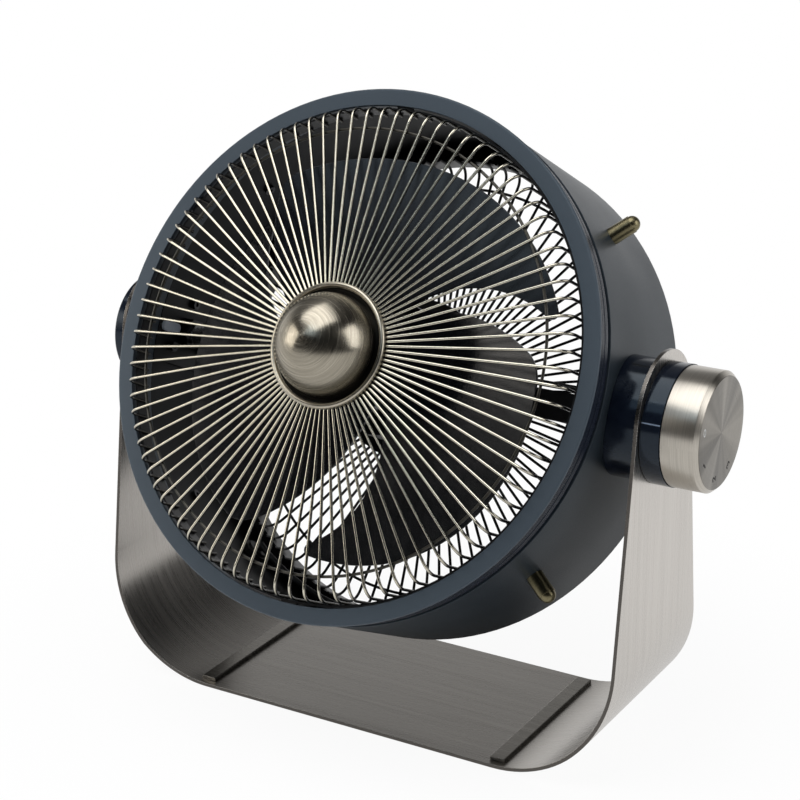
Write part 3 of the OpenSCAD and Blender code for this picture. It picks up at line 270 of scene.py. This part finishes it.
def plain(name, low, high, rough, metal=0.0, scale=300, bump=0.00004, edge=0.0003, shine=0.5, tint=WHITE,
          alpha=1.0):
    """Plastic, rubber or metal with a fine grain and slow unevenness."""
    paint = Paint(name)
    place = paint.place()
    fine = paint.noise(place, scale, detail=4, rough=0.6)
    slow = paint.noise(place, scale / 12, detail=2, rough=0.5)
    tone = paint.blend(fine, slow, share=0.5)
    return paint.done(
        Base_Color=paint.between(tone, low, high, 0.35, 0.65), Metallic=metal, Alpha=alpha,
        Roughness=paint.roughness(tone, rough - 0.06, rough + 0.08),
        Specular_IOR_Level=shine, Specular_Tint=rgba(tint),
        Normal=paint.bump(fine, distance=bump, strength=0.4, edge=edge))


def wire(name, low, high, dark, rough):
    """Plated wire: pale where it faces forward, as a painted highlight, dark on its sides as a painted
    reflection of the dim room, and dark on the legs behind the bezel as painted shade.
    """
    paint = Paint(name)
    place = paint.place()
    fine = paint.noise(place, scale=900, detail=2, rough=0.5)
    slow = paint.noise(place, scale=60, detail=2, rough=0.5)
    tone = paint.blend(fine, slow, share=0.4)
    normal = paint.node("ShaderNodeTexCoord").outputs["Normal"]
    # Painted light: pale only where the wire faces forward and lies ahead of the bezel, painted dark
    # elsewhere
    forward = paint.vector_math("DOT_PRODUCT", normal, HEAD_FORWARD)
    highlight_facing = paint.span(forward, start=0.35, end=0.85)
    depth = paint.split(paint.head_place())[2]
    clear_of_shade = paint.span(depth, start=BEZEL_AHEAD - 0.006, end=BEZEL_AHEAD + 0.004)
    front = paint.math("MULTIPLY", highlight_facing, clear_of_shade)
    return paint.done(
        Base_Color=paint.mix(front, dark, paint.between(tone, low, high)), Metallic=1.0,
        Roughness=paint.roughness(tone, rough - 0.04, rough + 0.05),
        Normal=paint.bump(tone, distance=0.00001, strength=0.3))


# Painted shade in the collar's groove, between the collar and the dome
GROOVE_SHADE_COLOUR = (0.015, 0.014, 0.012)


def around(name, low, high, rough, on_knob=False, lines=9000, sweep=1.2, face=None, groove=None):
    """Turned metal: fine lines run in circles round the axis of the head or the knob.
    Beyond the place face it has painted sheen in fans, as a turned disc shows under lamps. Within the
    radius groove it is painted shade, dark as the groove between collar and dome."""
    paint = Paint(name)
    from_pivot = paint.from_pivot()
    if on_knob:
        along, x, y = paint.split(from_pivot)
        axis = KNOB_AXIS
    else:
        x, y, along = paint.split(paint.head_place())
        axis = HEAD_FORWARD
    squares = paint.math("ADD", paint.math("MULTIPLY", x, x), paint.math("MULTIPLY", y, y))
    radius = paint.math("SQRT", squares)
    angle = paint.math("ARCTAN2", y, x)
    turn = paint.math("MULTIPLY", angle, sweep)

    def circles(density, detail, rough):
        out = paint.math("MULTIPLY", radius, density)
        forward = paint.math("MULTIPLY", along, density)
        return paint.noise(paint.join(out, turn, forward), 1.0, detail, rough)

    fine = circles(lines, detail=3, rough=0.65)
    wide = circles(lines / 7, detail=2, rough=0.5)
    tone = paint.blend(fine, wide, share=0.65)
    colour = paint.between(tone, low, high)
    # Painted sheen: fans of lighter and darker colour on the knob's face
    if face:
        circle = paint.join(paint.math("COSINE", angle), paint.math("SINE", angle), 0.0)
        sheen_fans = paint.noise(circle, scale=1.5, detail=2, rough=0.5)
        painted_sheen = paint.ramp(sheen_fans, (0.36, 0.26), (0.64, 0.60))
        on_face = paint.math("GREATER_THAN", along, face)
        colour = paint.mix(1.0, colour, paint.mix(on_face, WHITE, painted_sheen), "MULTIPLY")
    # Painted shade: dark within the groove's radius
    if groove:
        colour = paint.mix(paint.math("LESS_THAN", radius, groove), colour, GROOVE_SHADE_COLOUR)
    tangent = paint.node(
        "ShaderNodeVectorTransform", paint.vector_math("CROSS_PRODUCT", axis, from_pivot),
        vector_type="VECTOR", convert_from="OBJECT", convert_to="WORLD").outputs[0]
    return paint.done(
        Base_Color=colour, Metallic=1.0, Roughness=paint.roughness(tone, rough - 0.05, rough + 0.07),
        Anisotropic=0.6, Anisotropic_Rotation=0.25, Tangent=tangent,
        Normal=paint.bump(tone, distance=0.00002, strength=0.4, edge=0.0003))


# Bends of the stand's band: their centres and the middle of the sheet
BEND_X = 0.117
BEND_Z = 0.086
BAND_MIDDLE = 0.08315
# A little less than half the sheet, so that its wide faces lie outside
DARK_EDGE_HALF = 0.00115
# Painted dark reflection on the band's cut edges
EDGE_REFLECTION_COLOUR = (0.10, 0.092, 0.084)
# Fine brush lines per metre across the band
BRUSH_LINES = 2600


def band_steel(name, low, high, rough, outer=None):
    """Brushed band: streaks run along the band, so they change quickly across its width only.
    If outer is given, it paints the outside of the U brighter than the inside, as painted light and shade,
    and paints the band's cut edges dark, as a painted reflection of the dim room."""
    paint = Paint(name)
    x, y, z = paint.split(paint.place())
    along = paint.math("ADD", paint.math("ABSOLUTE", x), z)

    def streaks(along_rate, across_rate, detail, rough):
        length = paint.math("MULTIPLY", along, along_rate)
        across = paint.math("MULTIPLY", y, across_rate)
        return paint.noise(paint.join(length, across, 0.0), 1.0, detail, rough)

    fine = streaks(9.0, BRUSH_LINES, detail=4, rough=0.7)
    wide = streaks(4.0, BRUSH_LINES / 14, detail=3, rough=0.6)
    tone = paint.blend(fine, wide, share=0.6)
    colour = paint.between(tone, low, high, 0.32, 0.68)
    # Painted light and shade: the outside of the U lighter than its inside, and the cut edges dark
    if outer:
        beyond = paint.math("MAXIMUM", paint.math("SUBTRACT", paint.math("ABSOLUTE", x), BEND_X), 0.0)
        below = paint.math("MINIMUM", paint.math("SUBTRACT", z, BEND_Z), 0.0)
        reach = paint.vector_math("LENGTH", paint.join(beyond, below, 0.0))
        layer = paint.math("SUBTRACT", reach, BAND_MIDDLE)
        painted_lit = paint.mix(1.0, colour, grey(outer), "MULTIPLY")
        colour = paint.mix(paint.math("GREATER_THAN", layer, 0.0), colour, painted_lit)
        dark_edge_reflection = paint.math("LESS_THAN", paint.math("ABSOLUTE", layer), DARK_EDGE_HALF)
        colour = paint.mix(dark_edge_reflection, colour, EDGE_REFLECTION_COLOUR)
    return paint.done(
        Base_Color=colour, Metallic=1.0, Roughness=paint.roughness(tone, rough - 0.07, rough + 0.09),
        Normal=paint.bump(fine, distance=0.00003, strength=0.5, edge=0.0005))


# Looks, grouped by the function that makes them. Low and high are the ends of the base colour.
BAND_LOOKS = {
    # The stand's outer factor is painted light on the outside of the U
    "stand_steel": dict(low=(0.33, 0.312, 0.29), high=(0.44, 0.418, 0.39), rough=0.27, outer=1.34),
    "bar_steel": dict(low=(0.22, 0.208, 0.188), high=(0.34, 0.322, 0.295), rough=0.24),
}
COAT_LOOKS = {
    # The drum's paint turns to painted shade within its inner radius
    "drum_paint": dict(low=(0.0125, 0.0174, 0.0228), high=(0.0225, 0.0295, 0.0368), rough=0.40,
                       grain=1500, bump=0.00008, inside=0.1775),
    "bezel_paint": dict(low=(0.046, 0.060, 0.075), high=(0.060, 0.075, 0.092), rough=0.34,
                        grain=2600, bump=0.00003, edge=0.0006),
    "trim_paint": dict(low=(0.007, 0.010, 0.018), high=(0.013, 0.016, 0.026), rough=0.26,
                       grain=2600, bump=0.00003),
}
WIRE_LOOKS = {
    # The dark colour is painted shade and painted dark reflection on the wires' sides and legs
    "wire_nickel": dict(low=(0.52, 0.49, 0.40), high=(0.66, 0.62, 0.52), rough=0.19,
                        dark=(0.035, 0.033, 0.028)),
}
TURNED_LOOKS = {
    # Within the collar's groove radius it is painted shade
    "collar_nickel": dict(low=(0.30, 0.27, 0.22), high=(0.56, 0.52, 0.43), rough=0.26, groove=0.0382),
    "dome_nickel": dict(low=(0.18, 0.162, 0.13), high=(0.42, 0.385, 0.315), rough=0.23, lines=4000,
                        sweep=0.8),
    "peg_brass": dict(low=(0.10, 0.085, 0.045), high=(0.26, 0.23, 0.14), rough=0.32),
    "knob_nickel": dict(low=(0.33, 0.307, 0.27), high=(0.54, 0.505, 0.45), rough=0.31, on_knob=True,
                        face=0.2404),
}
PLAIN_LOOKS = {
    "pad_rubber": dict(low=grey(0.012), high=grey(0.022), rough=0.75),
    "pivot_plastic": dict(low=(0.62, 0.62, 0.58), high=(0.75, 0.75, 0.71), rough=0.45),
    "black_steel": dict(low=(0.004, 0.004, 0.005), high=(0.008, 0.008, 0.009), rough=0.35, shine=0.2),
    "screw_steel": dict(low=grey(0.30), high=grey(0.48), rough=0.30, metal=1.0),
    "motor_paint": dict(low=(0.004, 0.004, 0.005), high=(0.008, 0.008, 0.009), rough=0.40, shine=0.15),
    "core_steel": dict(low=(0.22, 0.22, 0.23), high=(0.34, 0.34, 0.35), rough=0.45, metal=1.0),
    "copper": dict(low=(0.45, 0.17, 0.07), high=(0.62, 0.27, 0.12), rough=0.35, metal=1.0),
    "bearing_steel": dict(low=grey(0.42), high=grey(0.62), rough=0.22, metal=1.0),
    "pale_plastic": dict(low=(0.62, 0.68, 0.80), high=(0.72, 0.78, 0.88), rough=0.40),
    "capacitor_plastic": dict(low=(0.42, 0.42, 0.40), high=(0.52, 0.52, 0.50), rough=0.45),
    "gloss_navy": dict(low=(0.004, 0.006, 0.012), high=(0.007, 0.010, 0.018), rough=0.16, scale=200,
                       bump=0.00001, edge=0.0007, shine=0.3, tint=(0.72, 0.87, 1.0)),
    "black_plastic": dict(low=grey(0.008), high=grey(0.016), rough=0.45),
    "lead_sheath": dict(low=grey(0.010), high=grey(0.018), rough=0.5),
    "blade_smoke": dict(low=(0.004, 0.0045, 0.0055), high=(0.007, 0.008, 0.010), rough=0.16, scale=60,
                        bump=0.00005, edge=0.0008, alpha=0.968),
    "mark_pale": dict(low=(0.55, 0.56, 0.56), high=(0.68, 0.69, 0.69), rough=0.4),
    "mark_dark": dict(low=(0.015, 0.014, 0.013), high=(0.03, 0.028, 0.026), rough=0.5, shine=0.1),
    "index_pale": dict(low=(0.16, 0.21, 0.30), high=(0.24, 0.30, 0.40), rough=0.4),
    # A darker copy of the wire's nickel: painted shade for the grille ring, which lies in the head's shade
    "ring_nickel": dict(low=(0.045, 0.043, 0.038), high=(0.08, 0.076, 0.066), rough=0.3, metal=1.0,
                        scale=120),
    "dark_steel": dict(low=(0.03, 0.03, 0.032), high=(0.06, 0.06, 0.064), rough=0.35, metal=1.0),
}
MAKERS = ((band_steel, BAND_LOOKS), (coat_paint, COAT_LOOKS), (wire, WIRE_LOOKS), (around, TURNED_LOOKS),
          (plain, PLAIN_LOOKS))
MATERIALS = {name: make(name, **look) for make, looks in MAKERS for name, look in looks.items()}

# Nodes that look different from the rest of their slot, and the slots of looks that aren't slots
# The front grille's ring takes the painted-shade copy of the nickel
OWN_LOOKS = {"front_grille_ring": "ring_nickel", "boss_screws": "dark_steel", "trunnion_nuts": "dark_steel",
             "peg_screws": "dark_steel"}
SLOT_OF_LOOK = {"mark_pale": "pale_plastic", "mark_dark": "black_plastic", "index_pale": "pale_plastic"}


def dress_nodes():
    """Give each CAD object the look of its slot, or its own."""
    slots = {subpart["node"]: subpart["material_slot"] for subpart in RECORD["subparts"]}
    for name, node in NODES.items():
        node.data.materials.clear()
        node.data.materials.append(MATERIALS[OWN_LOOKS.get(name, slots[name])])


# Steps of an arc in an outline, and segments of a turned piece
ARC_STEPS = 4
KNOB_SEGMENTS = 160
TRIM_SEGMENTS = 240
# Edges are sharp from these angles on, in degrees
TURNED_SHARP = 30
STROKE_SHARP = 20


def finish_piece(name, points, faces, look, body, sharp_from, *replaced):
    """Make an object with its faces turned outwards, which rides on a body. Sharp_from is in degrees."""
    mesh = bpy.data.meshes.new(name)
    mesh.from_pydata(points, [], faces)
    work = bmesh.new()
    work.from_mesh(mesh)
    bmesh.ops.recalc_face_normals(work, faces=work.faces)
    work.to_mesh(mesh)
    work.free()
    piece = bpy.data.objects.new(name, mesh)
    bpy.context.scene.collection.objects.link(piece)
    mesh.materials.append(MATERIALS[look])
    mesh.shade_smooth()
    mesh.set_sharp_from_angle(angle=radians(sharp_from))
    SLOT_OF_LOOK.get(look, look)
    if replaced:
        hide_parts(*replaced)
    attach(piece, body)


def lathe(name, profile, segments, matrix, look, body, *replaced):
    """Turn a closed outline of radii and heights. A radius of zero closes on the axis."""
    points = []
    rings = []
    for radius, height in profile:
        count = segments if radius else 1
        rings.append(range(len(points), len(points) + count))
        for step in range(count):
            angle = 2 * pi * step / segments
            point = Vector((radius * cos(angle) / MM, radius * sin(angle) / MM, height / MM))
            points.append(matrix @ point)
    faces = []
    for ring, after in zip(rings, rings[1:] + rings[:1]):
        if len(ring) == len(after) == 1:
            continue
        for step in range(segments):
            corners = (ring[step % len(ring)], after[step % len(after)],
                       after[(step + 1) % len(after)], ring[(step + 1) % len(ring)])
            faces.append(tuple(dict.fromkeys(corners)))
    finish_piece(name, points, faces, look, body, TURNED_SHARP, *replaced)


def arc(centre_r, centre_z, radius, start, end):
    """Points of an arc in an outline, with angles in degrees from outwards to forwards."""
    angles = [radians(start + (end - start) * step / ARC_STEPS) for step in range(ARC_STEPS + 1)]
    return [(centre_r + radius * cos(angle), centre_z + radius * sin(angle)) for angle in angles]


# Knob: radii, and places along its axis from the middle of the fan
KNOB_R = 39.7
KNOB_SKIRT_R = 36.4
KNOB_HUB_R = 7.9
KNOB_BORE_R = 3.2
KNOB_BACK = 215.3
KNOB_HUB_BACK = 219.0
KNOB_PLATE_BACK = 236.4
KNOB_BORE_END = 236.9
KNOB_CHAMFER_START = 237.3
KNOB_FACE = 240.62
KNOB_FACE_R = 36.5
KNOB_BACK_ROUND = 0.4
KNOB_FRONT_ROUND = 0.5
# A ring on the flat face, which keeps the rim's smooth shading near the rim
KNOB_FACE_RING = 30


def add_knob():
    """The knob with a chamfer round its face, bored from behind for the switch shaft."""
    profile = [
        (KNOB_BORE_R, KNOB_HUB_BACK), (KNOB_HUB_R, KNOB_HUB_BACK),
        (KNOB_HUB_R, KNOB_PLATE_BACK), (KNOB_SKIRT_R, KNOB_PLATE_BACK),
        (KNOB_SKIRT_R, KNOB_BACK + KNOB_BACK_ROUND), (KNOB_SKIRT_R + KNOB_BACK_ROUND, KNOB_BACK)]
    profile += arc(KNOB_R - KNOB_BACK_ROUND, KNOB_BACK + KNOB_BACK_ROUND, KNOB_BACK_ROUND, -90, 0)
    profile += arc(KNOB_R - KNOB_FRONT_ROUND, KNOB_CHAMFER_START, KNOB_FRONT_ROUND, 0, 45)
    profile += arc(KNOB_FACE_R, KNOB_FACE - KNOB_FRONT_ROUND, KNOB_FRONT_ROUND, 45, 90)
    profile += [(KNOB_FACE_RING, KNOB_FACE), (0, KNOB_FACE)]
    profile += [(0, KNOB_BORE_END), (KNOB_BORE_R, KNOB_BORE_END)]
    lathe("knob_body", profile, KNOB_SEGMENTS, ALONG_KNOB, "knob_nickel", "knob", "knob")


# Trim band: its ends behind the front of the bezel, and its radii
TRIM_START = 3.0
TRIM_END = 19.35
TRIM_INNER_R = 177.02
TRIM_BASE_R = 177.05
# Each bead starts and ends this far behind the bezel's front and stands out this much
BEADS = [(3.0, 5.4, 0.55), (5.6, 7.5, 1.3), (7.7, 9.6, 1.3), (9.8, 11.0, 1.3), (11.2, 11.9, 0.6),
         (12.1, 14.0, 1.3), (14.2, 16.4, 1.3), (16.6, 19.3, 0.6)]
# Chamfer of a bead across and along the band
BEAD_CHAMFER_R = 0.25
BEAD_CHAMFER_Z = 0.15


def add_trim_band():
    outline = [(TRIM_INNER_R, TRIM_START)]
    for start, end, height in BEADS:
        top = TRIM_BASE_R + height
        side = top - BEAD_CHAMFER_R
        outline += [(side, start), (top, start + BEAD_CHAMFER_Z), (top, end - BEAD_CHAMFER_Z), (side, end)]
    outline.append((TRIM_INNER_R, TRIM_END))
    profile = [(radius, BEZEL_AHEAD * MM - behind) for radius, behind in outline]
    lathe("trim_band_beaded", profile, TRIM_SEGMENTS, HEAD, "trim_paint", "head", "trim_band")


def stroke(name, line, place, low, high, width, look, body):
    """A thin bar along a line of points, from the height low to high. A line that ends where it
    starts is a loop. The function place takes a point and a height in mm to the fan's frame."""
    loop = line[0] == line[-1]
    if loop:
        line = line[:-1]
    count = len(line)
    points = []
    for index, (u, v) in enumerate(line):
        before = line[index - 1 if loop else max(index - 1, 0)]
        after = line[(index + 1) % count if loop else min(index + 1, count - 1)]
        du = after[0] - before[0]
        dv = after[1] - before[1]
        half = width / 2 / hypot(du, dv)
        for side, height in ((1, low), (1, high), (-1, high), (-1, low)):
            points.append(place(u - side * dv * half, v + side * du * half, height))
    faces = []
    for index in range(count if loop else count - 1):
        here = 4 * index
        there = 4 * ((index + 1) % count)
        for corner in range(4):
            following = (corner + 1) % 4
            faces.append((here + corner, here + following, there + following, there + corner))
    if not loop:
        faces.append(tuple(range(4)))
        faces.append(tuple(range(len(points) - 4, len(points))))
    finish_piece(name, points, faces, look, body, STROKE_SHARP)


# Speed marks on the knob's face, as lines of points in mm before they are scaled
OVAL_STEPS = 20
OVAL = [(0.9 * cos(2 * pi * step / OVAL_STEPS), 1.5 * sin(2 * pi * step / OVAL_STEPS))
        for step in range(OVAL_STEPS)]
GLYPHS = [
    OVAL + OVAL[:1],
    [(-0.55, 0.95), (0.1, 1.5), (0.1, -1.5)],
    [(-0.8, 0.8), (-0.6, 1.3), (0, 1.5), (0.6, 1.3), (0.8, 0.8), (0.55, 0.1), (-0.8, -1.5), (0.9, -1.5)],
    [(-0.75, 1.2), (0, 1.5), (0.65, 1.2), (0.7, 0.5), (0, 0.1), (0.75, -0.35), (0.75, -1.1), (0, -1.5),
     (-0.8, -1.2)],
]
GLYPH_SCALE = 1.55
# Marks are this far from the axis, this far apart, and the zero is this far up from the front
MARK_RING = 0.0298
MARK_STEP = radians(45)
ZERO_UP = radians(17.5)
# Marks reach into the face and stand out of it a little, in mm
MARK_SINK = 0.1
MARK_RISE = 0.05
PALE_WIDTH = 0.7
DARK_WIDTH = 1.2


def from_front(angle):
    """Direction in the plane of the knob's face, turned up from the fan's front."""
    return Vector((0, -cos(angle), sin(angle)))


def add_mark(number):
    """The zero stands upright at its place, and each next mark is turned on with its place."""
    turn = -number * MARK_STEP
    centre = PIVOT + from_front(ZERO_UP + turn) * MARK_RING
    up = from_front(pi / 2 + turn)
    across = from_front(pi + turn)

    def on_face(u, v, height):
        return centre + (across * u + up * v) / MM + Vector((height / MM, 0, 0))

    line = [(GLYPH_SCALE * u, GLYPH_SCALE * v) for u, v in GLYPHS[number]]
    look, width = ("mark_dark", DARK_WIDTH) if number else ("mark_pale", PALE_WIDTH)
    low = KNOB_FACE - MARK_SINK
    high = KNOB_FACE + MARK_RISE
    stroke(f"knob_mark_{number}", line, on_face, low, high, width, look, "knob")


# Index line in the groove of the collar, in mm
COLLAR_R = 40.2
COLLAR_START = 201.75
INDEX_ANGLE = radians(-9.5)
INDEX_START = 0.3
INDEX_END = 12.9
INDEX_BOTTOM = -0.28
INDEX_TOP = -0.03
INDEX_WIDTH = 0.8


def on_collar(u, v, height):
    """Place at u along the collar, v round it and a height over its surface."""
    radius = COLLAR_R + height
    angle = INDEX_ANGLE + v / COLLAR_R
    return HEAD @ Vector(((COLLAR_START + u) / MM, radius * sin(angle) / MM, radius * cos(angle) / MM))


def add_index_line():
    line = [(INDEX_START, 0), (INDEX_END, 0)]
    stroke("index_line", line, on_collar, INDEX_BOTTOM, INDEX_TOP, INDEX_WIDTH, "index_pale", "head")


# World: brightness of the room in reflections, away from the backdrop and above it, and the fill light
ROOM_DIM = 0.04
UPPER_DIM = 0.22
FILL = 0.22
FILL_COLOUR = (0.94, 0.97, 1.0)


def add_world():
    """White for the camera. In reflections it is white low down on the back left and dim elsewhere,
    and all other rays see an even, weak fill."""
    world = bpy.data.worlds.new("studio")
    bpy.context.scene.world = world
    world.use_nodes = True
    shade = Shade(world.node_tree)
    nodes = world.node_tree.nodes
    x, y, z = shade.split(shade.node("ShaderNodeTexCoord").outputs["Generated"])
    back_left = shade.math("SUBTRACT", y, x)
    behind = shade.span(back_left, start=0.15, end=1.1, first=ROOM_DIM, last=1.0, kind="SMOOTHSTEP")
    low_down = shade.span(z, start=0.22, end=0.52, first=1.0, last=UPPER_DIM, kind="SMOOTHSTEP")
    seen, camera = shade.seen_rays()
    room = shade.math("MAXIMUM", shade.math("MULTIPLY", behind, low_down), camera)
    backdrop = nodes["Background"]
    shade.fill(backdrop, Color=rgba(WHITE), Strength=room)
    fill = shade.node("ShaderNodeBackground", rgba(FILL_COLOUR), FILL)
    surface = shade.mix_shaders(seen, fill.outputs[0], backdrop.outputs[0])
    shade.put(nodes["World Output"].inputs["Surface"], surface)


# Soft lamps: place, target, width and height, watts, colour
LAMPS = {
    "top": ((-0.3, -0.45, 2.1), (0, 0, 0.2), (1.9, 1.7), 31, WHITE),
    "right_box": ((1.9, 0.3, 1.05), (0.1, 0, 0.2), (1.2, 1.5), 17, WHITE),
    "left_low": ((-1.7, -1.2, 0.85), (0, 0, 0.2), (1.0, 1.1), 11, (1.0, 0.96, 0.9)),
    "front_high": ((-0.34, -1.57, 1.8), (0, 0, 0.25), (0.8, 0.8), 2.4, (0.70, 0.86, 1.0)),
}


def add_lamps():
    for name, (place, target, size, watts, colour) in LAMPS.items():
        data = bpy.data.lights.new(name, "AREA")
        data.shape = "RECTANGLE"
        data.size, data.size_y = size
        data.energy = watts
        data.color = colour
        lamp = bpy.data.objects.new(name, data)
        lamp.location = place
        lamp.rotation_euler = (Vector(target) - Vector(place)).to_track_quat("-Z", "Y").to_euler()
        bpy.context.scene.collection.objects.link(lamp)


# Floor: half its width, the share of plain white near the fan as the camera and as gloss see it,
# and the distances from the middle between which it turns all white
FLOOR_HALF = 6
CAMERA_LIFT = 0.93
GLOSS_LIFT = 0.7
WHITE_START = 0.24
WHITE_END = 0.42


def floor_paper():
    """Pale paper that keeps the object's shadow and turns into the white backdrop further out."""
    paint = Paint("floor_paper")
    place = paint.place()
    uneven = paint.noise(place, scale=40, detail=2, rough=0.5)
    colour = paint.mix(uneven, grey(0.93), grey(0.96))
    paint.done(Base_Color=colour, Roughness=0.9, Specular_IOR_Level=0.0)
    glow = paint.node("ShaderNodeEmission", rgba(WHITE))
    seen, camera = paint.seen_rays()
    far = paint.span(paint.vector_math("LENGTH", place), WHITE_START, WHITE_END)
    near_lift = paint.math("MULTIPLY_ADD", camera, CAMERA_LIFT - GLOSS_LIFT, GLOSS_LIFT)
    lift = paint.math("MULTIPLY_ADD", far, paint.math("SUBTRACT", 1.0, near_lift), near_lift)
    share = paint.math("MULTIPLY", seen, lift)
    surface = paint.mix_shaders(share, paint.shader.outputs[0], glow.outputs[0])
    paint.put(paint.tree.nodes["Material Output"].inputs["Surface"], surface)
    return paint.material


def add_floor():
    corners = [(-FLOOR_HALF, -FLOOR_HALF, 0), (FLOOR_HALF, -FLOOR_HALF, 0),
               (FLOOR_HALF, FLOOR_HALF, 0), (-FLOOR_HALF, FLOOR_HALF, 0)]
    mesh = bpy.data.meshes.new("floor")
    mesh.from_pydata(corners, [], [(0, 1, 2, 3)])
    mesh.materials.append(floor_paper())
    floor = bpy.data.objects.new("floor", mesh)
    bpy.context.scene.collection.objects.link(floor)


add_camera()
dress_nodes()
add_knob()
add_trim_band()
for mark in range(len(GLYPHS)):
    add_mark(mark)
add_index_line()
add_world()
add_lamps()
add_floor()

scene = bpy.context.scene
scene.view_settings.view_transform = "Standard"
